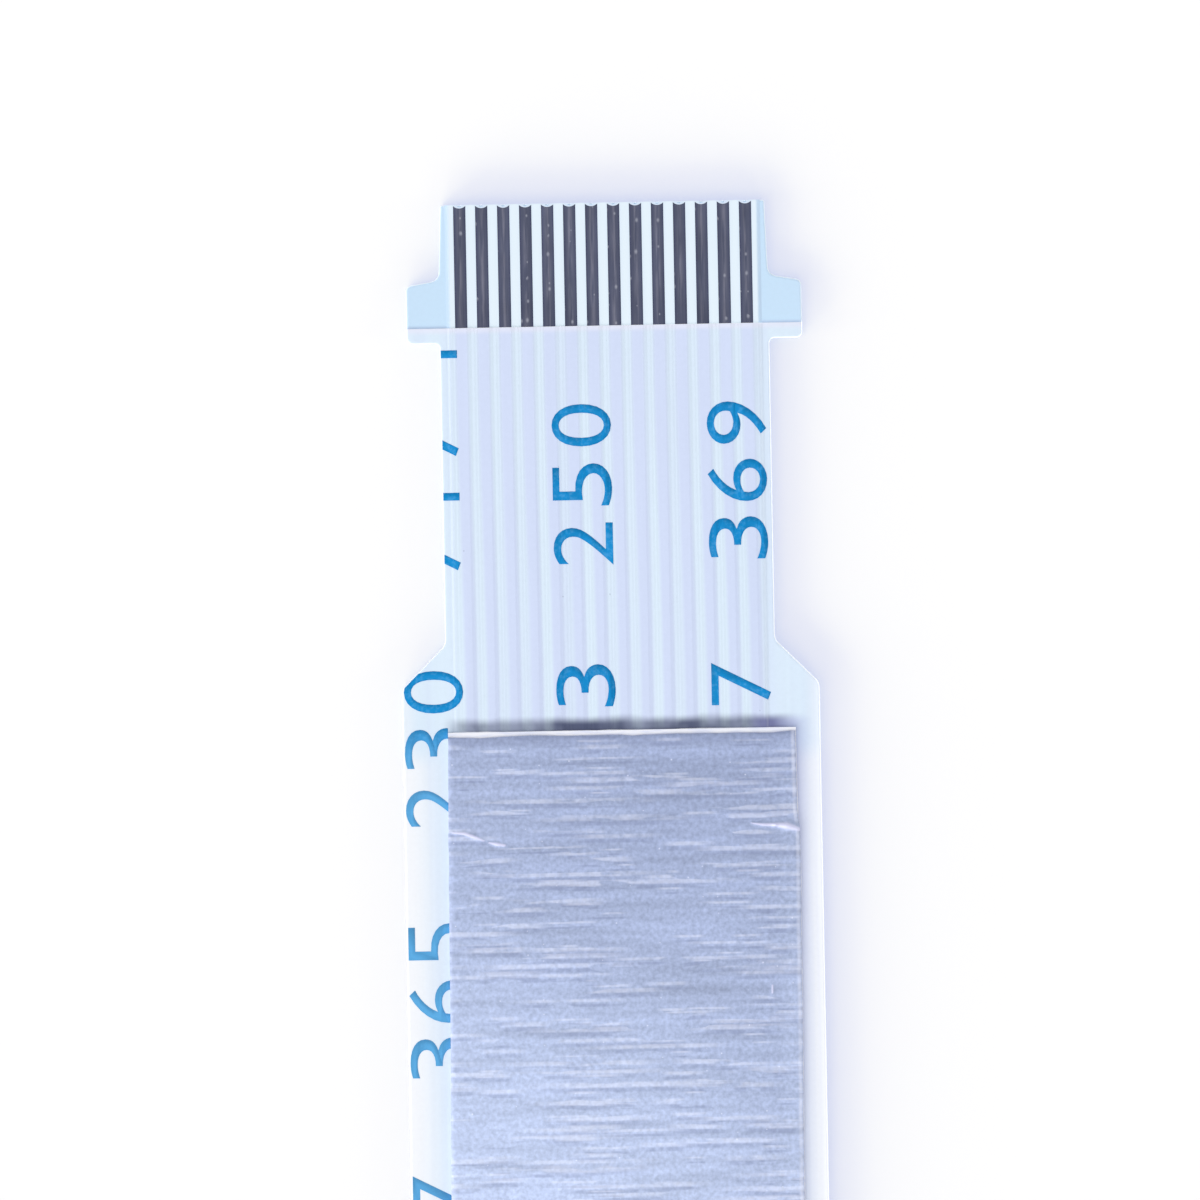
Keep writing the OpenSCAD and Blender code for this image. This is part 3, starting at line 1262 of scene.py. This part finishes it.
    def sheen(self, sheet: NodeSheet) -> Socket:
        """Finds where the foil is painted lighter as a sheen, from the right of each end towards the middle
        and towards the right edge.

        Args:
            sheet: Sheet of the foil's material.

        Returns:
            Share of the painted sheen.
        """
        place = sheet.place()
        x, y, _ = sheet.parts(place)
        inward = sheet.math("SUBTRACT", sheet.times(x, self.sheen_slant), sheet.size(y))
        wander = sheet.spread(sheet.cloud(place, *self.sheen_patches), *self.sheen_wander)
        inner = sheet.step(sheet.math("ADD", inward, wander), *self.sheen_inward)
        return sheet.math("ADD", inner, sheet.step(x, *self.sheen_right), clamp=True)


@dataclass(frozen=True)
class InkFinish(Finish):
    """Blue printing ink with the thin spots of a worn print wheel, paler beside the tape."""

    surface = Surface.INK
    roughness: Range = (0.46, 0.64)
    specular: float = 0.12
    blue: Colour = srgb(12, 139, 206)
    thin: Colour = srgb(68, 158, 219)
    faded: Colour = srgb(102, 178, 230)
    worn_grain: Ramp = Ramp(0.45, 0.7, 0.0, 0.7)
    hole_level: float = 0.5
    over_ribs: Range = (1.04, 0.94)
    beside_tape: Ramp = Ramp(0.5, -0.8, 0.0, 0.8)

    def wire(self, sheet: NodeSheet, effects: EffectLibrary) -> Look:
        """Wires the ink's uneven cover."""
        mottle = sheet.effect(effects.mottle, Seed=53.0)
        bands = sheet.effect(effects.bands, Softness=0.06)
        holes = sheet.effect(effects.specks, Across=9.0, Along=9.0, Size=0.25, Share=0.12, Seed=13.0)
        worn = sheet.step(mottle["Grain"], *self.worn_grain)
        worn = sheet.math("MAXIMUM", worn, sheet.times(holes["Speck"], self.hole_level))
        colour = sheet.blend(worn, self.blue, self.thin)
        colour = sheet.dim(colour, sheet.spread(bands["Over"], *self.over_ribs))
        _, y, _ = sheet.parts(sheet.place())
        paler = sheet.step(sheet.size(y), *self.beside_tape.past(effects.layout.shield_y))
        return Look(sheet.blend(paler, colour, self.faded), mottle["Grain"])


@dataclass
class Lamination:
    """Back film, adhesive, conductors and front film, pressed into one ribbon."""

    layout: CableLayout
    rolled_rim: float = 0.05
    cut_rim: float = 0.012
    bar_rim: float = 0.012
    rib_rim: float = 0.022
    bar_length: float = 1.0
    past_bed: float = 0.01

    def build(self, materials: dict[Surface, bpy.types.Material]) -> None:
        """Builds and dresses every layer of the ribbon."""
        self.back_film().finish(Surface.BACK_FILM, materials, "base_film")
        self.adhesive().finish(Surface.ADHESIVE, materials, "adhesive_bed")
        for index in range(1, self.layout.conductor_count + 1):
            self.conductor(index).finish(Surface.CONTACT, materials, f"conductor_{index:02d}")
        self.front_film().finish(Surface.FRONT_FILM, materials, "cover_film")

    def back_film(self) -> Workpiece:
        """Shapes the back film with its rolled upper rim.

        Returns:
            The film.
        """
        work = Workpiece.from_node("back_film", "base_film")
        work.soften(work.edges_above(self.layout.film_z), self.rolled_rim, segments=3)
        work.soften(work.edges_below(self.layout.base_z), self.cut_rim)
        return work

    def adhesive(self) -> Workpiece:
        """Shapes the adhesive with softened bars.

        Returns:
            The bed.
        """
        work = Workpiece.from_node("adhesive_bars", "adhesive_bed")
        top = self.layout.conductor_z - LEVEL

        def on_bar(a: Vector, b: Vector) -> bool:
            """Whether an edge runs along the upper side of a bar."""
            return min(a.z, b.z) > top and abs(a.x - b.x) < LEVEL and abs(a.y - b.y) > self.bar_length

        work.soften(work.edges_where(on_bar), self.bar_rim)
        return work

    def conductor(self, index: int) -> Workpiece:
        """Shapes one flat conductor with drawn edges.

        Args:
            index: Number of the conductor, from 1 on the left.

        Returns:
            The conductor.
        """
        work = Workpiece.from_node(f"contact_{index:02d}", f"conductor_{index:02d}")
        work.soften(work.edges_above(self.layout.conductor_z), self.bar_rim)
        return work

    def front_film(self) -> Workpiece:
        """Shapes the front film with soft ribs and rolled rims.

        Returns:
            The film.
        """
        work = Workpiece.from_node("front_film", "cover_film")
        face = self.layout.margin_z - LEVEL
        end = self.layout.film_end_y - LEVEL
        bed_side = self.layout.bed_foot_half + self.past_bed

        def on_rim(a: Vector, b: Vector) -> bool:
            """Whether an edge is on the outer outline of the upper face."""
            return min(abs(a.x), abs(b.x)) > bed_side and min(a.z, b.z) > face

        def on_rib(a: Vector, b: Vector) -> bool:
            """Whether an edge runs along a rib."""
            return abs(a.x - b.x) < LEVEL and abs(a.x) < bed_side and min(a.z, b.z) > face

        def on_cut(a: Vector, b: Vector) -> bool:
            """Whether an edge is on the upper side of a cut end."""
            return min(abs(a.y), abs(b.y)) > end and min(a.z, b.z) > face

        work.soften(work.edges_where(on_rim), self.rolled_rim, segments=4)
        work.soften(work.edges_where(on_rib), self.rib_rim)
        work.soften(work.edges_where(on_cut), self.cut_rim)
        return work


@dataclass
class ContactEnds:
    """Light blue stiffeners under the two contact ends."""

    layout: CableLayout
    pressed_rim: float = 0.03
    cut_rim: float = 0.01

    def build(self, materials: dict[Surface, bpy.types.Material]) -> None:
        """Builds and dresses both stiffeners."""
        for end in ("near", "far"):
            self.stiffener(end).finish(Surface.STIFFENER, materials, f"stiffener_{end}")

    def stiffener(self, end: str) -> Workpiece:
        """Shapes one stiffener with a pressed lower rim.

        Args:
            end: Which end of the cable it is under.

        Returns:
            The stiffener.
        """
        work = Workpiece.from_node(f"end_sheet_{end}", f"stiffener_{end}")
        work.soften(work.edges_below(0.0), self.pressed_rim, segments=3)
        work.soften(work.edges_above(self.layout.base_z), self.cut_rim)
        return work


@dataclass(frozen=True)
class Crease:
    """A small fold or nick in the foil, as a line of places with the fold's half width at each."""

    path: tuple[tuple[float, float, float], ...]
    steepness: float = 0.3

    def rise(self, point: Vector) -> tuple[float, float]:
        """Tells how a point is raised by the fold and how much of the fold's painted highlight it takes.

        Args:
            point: Place on the foil.

        Returns:
            Closeness, which is 1 on the fold and falls to 0 beside it, and height in millimetres.
        """
        gap, half_width = self.nearest(point)
        closeness = math.exp(-((gap / half_width) ** 2))
        return closeness, self.steepness * half_width * closeness

    def nearest(self, point: Vector) -> tuple[float, float]:
        """Finds the place on the fold that is nearest to a point.

        Args:
            point: Place on the foil.

        Returns:
            Distance along the foil and the fold's half width there, in millimetres.
        """
        flat = Vector((point.x, point.y, 0))
        found = []
        for start, end in zip(self.path, self.path[1:]):
            a = Vector((*start[:2], 0))
            b = Vector((*end[:2], 0))
            share = min(max(intersect_point_line(flat, a, b)[1], 0.0), 1.0)
            half_width = start[2] + (end[2] - start[2]) * share
            found.append(((flat - a.lerp(b, share)).length, half_width))
        return min(found)


@dataclass(frozen=True)
class Wave:
    """Smooth unevenness along the tape's two cut ends."""

    height: float
    per_mm: float
    row: float

    def at(self, x: float, end_sign: float, seed: float) -> float:
        """Works the wave out at one place.

        Args:
            x: Place across the cable.
            end_sign: 1 at the near end and -1 at the far one.
            seed: Shift that gives another pattern.

        Returns:
            Height of the wave in millimetres, above or below 0.
        """
        return self.height * noise.noise((x * self.per_mm, end_sign * self.row, seed))


@dataclass
class ShieldTape:
    """Foil shield on its white backing, stuck down by hand over the ribs."""

    layout: CableLayout
    end_reach: float = 0.35
    ragged: tuple[Wave, ...] = (Wave(0.035, 0.8, 5.0), Wave(0.02, 3.1, 9.0))
    lifted: float = 0.014
    lift_wave: Wave = Wave(0.02, 0.6, 3.0)
    lift_seed: float = 1.5
    frayed: float = 0.012
    frays_across: float = 2.0
    frays_along: float = 1.9
    fray_seed: float = 4.0
    backing_seed: float = 2.0
    backing_right_share: float = 0.9
    backing_steps: tuple[float, ...] = (0.12, 0.3, 0.6, 1.0)
    backing_cell: float = 0.5
    backing_sharp: float = 35.0
    foil_seed: float = 7.0
    foil_cell: float = 0.25
    foil_border: tuple[float, ...] = (0.03, 0.07, 0.12, 0.17, 0.24)
    foil_sharp: float = 50.0
    fine_reach: float = 0.3
    fine_cuts: int = 9
    rolled: float = 0.012
    rolled_reach: float = 0.04
    # Painted shade along the foil's ends: full closer than 0.17 mm to an end, none past 0.24 mm
    end_shade: Ramp = Ramp(0.24, 0.17)
    burnish_outer: Ramp = Ramp(0.0, 0.03)
    burnish_inner: Ramp = Ramp(0.12, 0.07)
    stray: tuple[tuple[float, float, float], ...] = (
        (28.0, 0.06, 0.0),
        (26.2, 0.04, 0.01),
        (25.6, 0.03, 0.07),
        (22.0, 0.0, 0.05),
        (17.5, -0.05, 0.02),
        (8.0, -0.04, -0.03),
        (-6.0, 0.03, -0.04),
        (-18.0, 0.05, 0.02),
        (-28.0, -0.03, 0.0),
    )
    creases: tuple[Crease, ...] = (
        Crease(((-3.66, 25.73, 0.02), (-3.39, 25.71, 0.045), (-3.20, 25.64, 0.045), (-2.94, 25.53, 0.018))),
        Crease(((-2.84, 25.49, 0.018), (-2.66, 25.455, 0.045), (-2.48, 25.425, 0.035))),
        Crease(((3.13, 25.83, 0.016), (3.41, 25.79, 0.04), (3.68, 25.785, 0.05))),
        Crease(((3.68, 25.785, 0.05), (3.94, 25.755, 0.1), (4.26, 25.66, 0.05))),
        Crease(((3.55, 22.14, 0.022), (3.545, 21.97, 0.028))),
    )

    def build(self, materials: dict[Surface, bpy.types.Material]) -> None:
        """Builds and dresses the backing and the foil."""
        self.backing().finish(Surface.BACKING, materials, "shield_backing")
        self.foil().finish(Surface.FOIL, materials, "shield_foil")

    def side_shift(self, y: float) -> tuple[float, float]:
        """Tells how far the tape's sides stray from straight.

        Args:
            y: Place along the cable.

        Returns:
            Shift of the left and of the right side.
        """
        for (y0, left0, right0), (y1, left1, right1) in zip(self.stray, self.stray[1:]):
            if y >= y1:
                return Ramp(y0, y1, left0, left1).at(y), Ramp(y0, y1, right0, right1).at(y)
        return self.stray[-1][1:]

    def settle(self, point: Vector, end: float, seed: float, right_share: float) -> Vector:
        """Moves a point of a straight tape to where it lies on the tape as stuck down.

        Args:
            point: Place on the straight tape.
            end: Place of the tape's cut end along the cable.
            seed: Shift that gives this layer its own ragged edge.
            right_share: How much of the right side's stray this layer takes.

        Returns:
            The settled place.
        """
        layout = self.layout
        share = (point.x - layout.tape_left_x) / (layout.foil_right_x - layout.tape_left_x)
        left, right = self.side_shift(point.y)
        end_sign = math.copysign(1.0, point.y)
        near = math.exp(-max(end - abs(point.y), 0.0) / self.end_reach)
        ragged = sum(wave.at(point.x, end_sign, seed) for wave in self.ragged)
        lift = near * (self.lifted + self.lift_wave.at(point.x, end_sign, self.lift_seed))
        fray_place = (share * self.frays_across, point.y * self.frays_along, seed + self.fray_seed)
        frayed = self.frayed * noise.noise(fray_place)
        across = left * (1 - share) + right * share * right_share + frayed
        return Vector((point.x + across, point.y + end_sign * near * ragged, point.z + max(lift, 0.0)))

    def backing(self) -> Workpiece:
        """Shapes the backing, with its bare lip at each end.

        Returns:
            The backing.
        """
        work = Workpiece.from_node("tape_backing", "shield_backing")
        end = self.layout.shield_y
        near_end = [end - step for step in self.backing_steps]
        last = round(near_end[-1] / self.backing_cell)
        even = [station * self.backing_cell for station in range(-last, last + 1)]
        work.slice_across(Axis.ALONG, [*even, *near_end, *(-y for y in near_end)])
        for vert in work.shape.verts:
            vert.co = self.settle(vert.co, end, self.backing_seed, self.backing_right_share)
        work.crease_sharp(self.backing_sharp)
        return work

    def foil(self) -> Workpiece:
        """Shapes the foil, with its stray sides, ragged ends and creases.

        Returns:
            The foil.
        """
        work = Workpiece("foil_sheet")
        shape = work.shape
        self.lay_flat(work)
        self.refine(shape)
        crease_layer = shape.verts.layers.float.new("crease")
        end_shade_layer = shape.verts.layers.float.new("edge")
        burnish_layer = shape.verts.layers.float.new("burnish")
        left_x, right_x = self.layout.tape_left_x, self.layout.foil_right_x
        end = self.layout.foil_end_y
        for vert in shape.verts:
            from_right = right_x - vert.co.x
            beside = min(vert.co.x - left_x, from_right)
            before = end - abs(vert.co.y)
            # Share of the painted shade along the foil's ends
            vert[end_shade_layer] = self.end_shade.at(before)
            vert[burnish_layer] = self.burnish_outer.at(from_right) * self.burnish_inner.at(from_right)
            vert.co = self.settle(vert.co, end, self.foil_seed, right_share=1.0)
            vert.co.z -= self.rolled * math.exp(-min(beside, before) / self.rolled_reach)
            for crease in self.creases:
                closeness, height = crease.rise(vert.co)
                vert[crease_layer] = max(vert[crease_layer], closeness)
                vert.co.z += height
        thickness = self.layout.foil_z - self.layout.backing_z
        bmesh.ops.solidify(shape, geom=shape.faces[:], thickness=thickness)
        work.crease_sharp(self.foil_sharp)
        return work

    def lay_flat(self, work: Workpiece) -> None:
        """Makes the foil's straight upper face as a grid that is finer along its border."""
        shape = work.shape
        left_x, right_x = self.layout.tape_left_x, self.layout.foil_right_x
        end = self.layout.foil_end_y
        width = right_x - left_x
        columns = round(width / self.foil_cell)
        rows = round(2 * end / self.foil_cell)
        bmesh.ops.create_grid(shape, x_segments=columns, y_segments=rows, size=0.5)
        bmesh.ops.scale(shape, vec=(width, 2 * end, 1), verts=shape.verts)
        middle = ((right_x + left_x) / 2, 0, self.layout.foil_z)
        bmesh.ops.translate(shape, vec=middle, verts=shape.verts)
        work.slice_across(Axis.ACROSS, [left_x + step for step in self.foil_border])
        work.slice_across(Axis.ACROSS, [right_x - step for step in self.foil_border])
        work.slice_across(Axis.ALONG, [sign * (end - step) for step in self.foil_border for sign in (-1, 1)])

    def refine(self, shape: bmesh.types.BMesh) -> None:
        """Makes the foil's mesh finer around the creases."""
        near = {
            edge
            for face in shape.faces
            if min(crease.nearest(face.calc_center_median())[0] for crease in self.creases) < self.fine_reach
            for edge in face.edges
        }
        bmesh.ops.subdivide_edges(shape, edges=list(near), cuts=self.fine_cuts, use_grid_fill=True)


@dataclass(frozen=True)
class NumberColumn:
    """One line of printed numbers that reads up the cable, with the places of its digits."""

    name: str
    baseline_x: float
    first: float
    digit_step: float
    number_step: float
    numbers: tuple[str, ...]

    def digits(self) -> Iterator[tuple[str, float]]:
        """Lists the digits with their distance from the near tip.

        Yields:
            A digit and the distance of its centre from the tip.
        """
        for place, number in enumerate(self.numbers):
            for step, digit in enumerate(reversed(number)):
                if digit != " ":
                    yield digit, self.first + place * self.number_step + step * self.digit_step


LEFT_NUMBERS = ("717", "230", "365", "427", "158", "203", "316", "529", "270", "645", "138", "702")
UNDER_TAPE = ("",) * 9


@dataclass
class PrintedNumbers:
    """Plain numbers printed up the front film, cut off where the film or the tape ends."""

    layout: CableLayout
    tape: ShieldTape
    digit_height: float = 1.35
    digit_width: float = 0.96
    boldness: float = -0.0055
    curve_steps: int = 6
    thickness: float = 0.004
    clearance: float = 0.002
    inset: float = 0.02
    columns: tuple[NumberColumn, ...] = (
        NumberColumn("print_left", -3.36, 5.33, 1.30, 5.74, LEFT_NUMBERS),
        NumberColumn("print_left_tip", -3.36, 3.39, 1.30, 5.74, ("1",)),
        NumberColumn("print_middle", 0.11, 5.06, 1.35, 5.92, ("250", "  3", *UNDER_TAPE, "26 ", "415")),
        NumberColumn("print_right", 3.64, 5.06, 1.31, 5.94, ("369", "  7", *UNDER_TAPE, "52 ", "307")),
    )

    def build(self, materials: dict[Surface, bpy.types.Material]) -> None:
        """Builds and dresses every column of numbers."""
        for column in self.columns:
            self.column(column).finish(Surface.INK, materials)

    def column(self, column: NumberColumn) -> Workpiece:
        """Shapes one column as thin ink on the ribbed film.

        Args:
            column: Numbers and their places.

        Returns:
            The ink.
        """
        work = Workpiece(column.name)
        for digit, distance in column.digits():
            part = self.digit(digit, column.baseline_x, self.layout.tip_y - distance)
            mesh = bpy.data.meshes.new("digit")
            part.shape.to_mesh(mesh)
            part.shape.free()
            work.shape.from_mesh(mesh)
            bpy.data.meshes.remove(mesh)
        for vert in work.shape.verts:
            vert.co.z = self.layout.face_height(vert.co.x) + self.clearance + self.thickness
        bmesh.ops.solidify(work.shape, geom=work.shape.faces[:], thickness=self.thickness)
        return work

    def digit(self, digit: str, baseline_x: float, y: float) -> Workpiece:
        """Shapes one flat digit that reads up the cable, cut where the film ends.

        Args:
            digit: Character to print.
            baseline_x: Place of the foot of the digit across the cable.
            y: Place of its middle along the cable.

        Returns:
            The flat digit.
        """
        work = Workpiece("digit")
        curve = bpy.data.curves.new("digit", "FONT")
        curve.body = digit
        curve.resolution_u = self.curve_steps
        curve.offset = self.boldness
        carrier = bpy.data.objects.new("digit", curve)
        show(carrier)
        mesh = bpy.data.meshes.new_from_object(carrier.evaluated_get(bpy.context.evaluated_depsgraph_get()))
        work.shape.from_mesh(mesh)
        bpy.data.objects.remove(carrier)
        bpy.data.curves.remove(curve)
        bpy.data.meshes.remove(mesh)
        self.fit(work.shape, digit)
        turn = Matrix.Translation((baseline_x, y, 0)) @ Matrix.Rotation(math.radians(90), 4, "Z")
        bmesh.ops.transform(work.shape, matrix=turn, verts=work.shape.verts)
        self.cut_to_film(work, y)
        work.slice_across(Axis.ACROSS, [x for x, _ in self.layout.face_profile()])
        return work

    def fit(self, shape: bmesh.types.BMesh, digit: str) -> None:
        """Scales a digit to the print's size, with its foot on the line and its middle at 0."""
        bmesh.ops.remove_doubles(shape, verts=shape.verts, dist=MERGED)
        across = [vert.co.x for vert in shape.verts]
        up = [vert.co.y for vert in shape.verts]
        tall = self.digit_height / (max(up) - min(up))
        wide = tall if digit == "1" else self.digit_width / (max(across) - min(across))
        middle = (max(across) + min(across)) / 2
        bmesh.ops.translate(shape, vec=(-middle, -min(up), 0), verts=shape.verts)
        bmesh.ops.scale(shape, vec=(wide, tall, 1), verts=shape.verts)

    def cut_to_film(self, work: Workpiece, y: float) -> None:
        """Cuts a digit where the film's outline or the tape ends.

        Args:
            work: The flat digit.
            y: Place of its middle along the cable.
        """
        layout = self.layout
        for side in (-1, 1):
            outward = Vector((side, 0, 0))
            work.trim(outward * (layout.body_half - self.inset), outward)
            for end in (-1, 1):
                corner = Vector((side * (layout.neck_half - self.inset), end * layout.neck_y, 0))
                if abs(y) > layout.neck_y:
                    work.trim(corner, outward)
                elif end * y > 0:
                    work.trim(corner, Vector((side, end, 0)).normalized())
                endward = Vector((0, end, 0))
                work.trim(endward * (layout.film_end_y - self.inset), endward)
        if abs(y) < layout.shield_y:
            tape_side = layout.tape_left_x + self.tape.side_shift(y)[0]
            work.trim(Vector((tape_side, 0, 0)), Vector((1, 0, 0)))


@dataclass
class Studio:
    """Plain pale floor, soft light and the camera above the near contact end."""

    camera_place: tuple[float, float, float] = (-0.21, 30.96, 200.0)
    camera_turn: float = -1.05
    lens: float = 263.4
    sensor: float = 36.0
    nearest_seen: float = 5.0
    ambient: Colour = (0.98, 0.985, 1.0, 1.0)
    ambient_level: float = 0.7
    white: Colour = (1.0, 1.0, 1.0, 1.0)
    key_towards: tuple[float, float, float] = (-0.55, -0.5, 0.85)
    key_spread: float = 60.0
    key_level: float = 0.29
    low_lights: tuple[tuple[float, float], ...] = (
        (195, 0.22),
        (225, 0.3),
        (252, 0.22),
        (290, 0.1),
        (350, 0.09),
    )
    low_height: float = 0.16
    low_spread: float = 24.0
    floor_size: float = 4.0
    floor_pale: Colour = (0.86, 0.87, 0.9, 1.0)
    floor_lit: Colour = (0.275, 0.245, 0.105, 1.0)
    floor_lift: Colour = (0.485, 0.539, 0.807, 1.0)

    def build(self) -> None:
        """Sets up the view, the camera, the light and the floor."""
        bpy.context.scene.view_settings.view_transform = "Standard"
        self.camera()
        self.world()
        floor = self.floor()
        self.sun("key light", Vector(self.key_towards), self.key_spread, self.key_level)
        lit = bpy.data.collections.new("lit by the low lights")
        lit.objects.link(floor)
        for compass, level in self.low_lights:
            turn = math.radians(compass)
            towards = Vector((math.cos(turn), math.sin(turn), self.low_height))
            low = self.sun(f"low light {compass}", towards, self.low_spread, level)
            low.light_linking.receiver_collection = lit

    def camera(self) -> None:
        """Places the camera straight above the near contact end."""
        data = bpy.data.cameras.new("camera")
        data.sensor_width = self.sensor
        data.lens = self.lens
        data.clip_start = self.nearest_seen * MM
        made = bpy.data.objects.new("camera", data)
        made.location = Vector(self.camera_place) * MM
        made.rotation_euler = (0, 0, math.radians(self.camera_turn))
        show(made)
        bpy.context.scene.camera = made

    def sun(self, name: str, towards: Vector, spread: float, level: float) -> bpy.types.Object:
        """Adds a soft lamp that lights level surfaces by a share of the whole.

        Args:
            name: Name of the lamp.
            towards: Direction from the cable to the lamp.
            spread: Width of the lamp as seen from the cable, in degrees.
            level: Share of the light on a level surface.

        Returns:
            The lamp.
        """
        data = bpy.data.lights.new(name, "SUN")
        data.angle = math.radians(spread)
        data.energy = level * math.pi / towards.normalized().z
        made = bpy.data.objects.new(name, data)
        made.rotation_euler = towards.to_track_quat("Z", "Y").to_euler()
        made.visible_camera = False
        show(made)
        return made

    @staticmethod
    def mix_seen(sheet: NodeSheet, unseen: Socket, seen: Socket) -> Socket:
        """Mixes how the surroundings light the cable with how they look, straight or by way of metal.

        Args:
            sheet: Sheet that the nodes go into.
            unseen: Shader for rays that carry light.
            seen: Shader for rays that look at the surroundings.

        Returns:
            The mixed shader.
        """
        path = sheet.add("ShaderNodeLightPath")
        looked = sheet.math("MAXIMUM", path.outputs["Is Camera Ray"], path.outputs["Is Glossy Ray"])
        looked = sheet.math("MAXIMUM", looked, path.outputs["Is Transmission Ray"])
        mixed = sheet.add("ShaderNodeMixShader")
        for socket, value in zip(mixed.inputs, (looked, unseen, seen)):
            sheet.feed(socket, value)
        return mixed.outputs[0]

    def world(self) -> None:
        """Lights the cable from all round and shows white behind it."""
        made = bpy.data.worlds.new("soft studio")
        sheet = NodeSheet.on(made)
        light = sheet.add("ShaderNodeBackground")
        light.inputs["Color"].default_value = self.ambient
        light.inputs["Strength"].default_value = self.ambient_level
        white = sheet.add("ShaderNodeBackground")
        white.inputs["Color"].default_value = self.white
        mixed = self.mix_seen(sheet, light.outputs[0], white.outputs[0])
        sheet.feed(sheet.add("ShaderNodeOutputWorld").inputs["Surface"], mixed)
        bpy.context.scene.world = made

    def floor(self) -> bpy.types.Object:
        """Lays a pale floor that looks white and keeps the cable's shadow.

        Returns:
            The floor.
        """
        shape = bmesh.new()
        bmesh.ops.create_grid(shape, x_segments=1, y_segments=1, size=self.floor_size / 2)
        mesh = bpy.data.meshes.new("floor")
        shape.to_mesh(mesh)
        shape.free()
        mesh.materials.append(self.floor_material())
        made = bpy.data.objects.new("floor", mesh)
        show(made)
        return made

    def floor_material(self) -> bpy.types.Material:
        """Makes the floor's material, which is lifted to white where it is looked at.

        Returns:
            The wired material.
        """
        made = bpy.data.materials.new("pale floor")
        sheet = NodeSheet.on(made)
        plain = sheet.add("ShaderNodeBsdfDiffuse")
        plain.inputs["Color"].default_value = self.floor_pale
        lit = sheet.add("ShaderNodeBsdfDiffuse")
        lit.inputs["Color"].default_value = self.floor_lit
        lift = sheet.add("ShaderNodeEmission")
        lift.inputs["Color"].default_value = self.floor_lift
        shown = sheet.add("ShaderNodeAddShader")
        sheet.feed(shown.inputs[0], lit.outputs[0])
        sheet.feed(shown.inputs[1], lift.outputs[0])
        mixed = self.mix_seen(sheet, plain.outputs[0], shown.outputs[0])
        sheet.feed(sheet.add("ShaderNodeOutputMaterial").inputs["Surface"], mixed)
        return made


def main() -> None:
    """Builds the studio and every sub-assembly of the cable."""
    logging.basicConfig(level=logging.INFO, format="%(message)s")
    layout = CableLayout.from_frame()
    Studio().build()
    effects = EffectLibrary(layout)
    finishes = (
        BackFilmFinish(),
        AdhesiveFinish(),
        FrontFilmFinish(),
        StiffenerFinish(),
        BackingFinish(),
        FoilFinish(),
        ContactFinish(),
        InkFinish(),
    )
    materials = {finish.surface: finish.material(effects) for finish in finishes}
    tape = ShieldTape(layout)
    for assembly in (Lamination(layout), ContactEnds(layout), tape, PrintedNumbers(layout, tape)):
        assembly.build(materials)


if __name__ == "__main__":
    main()
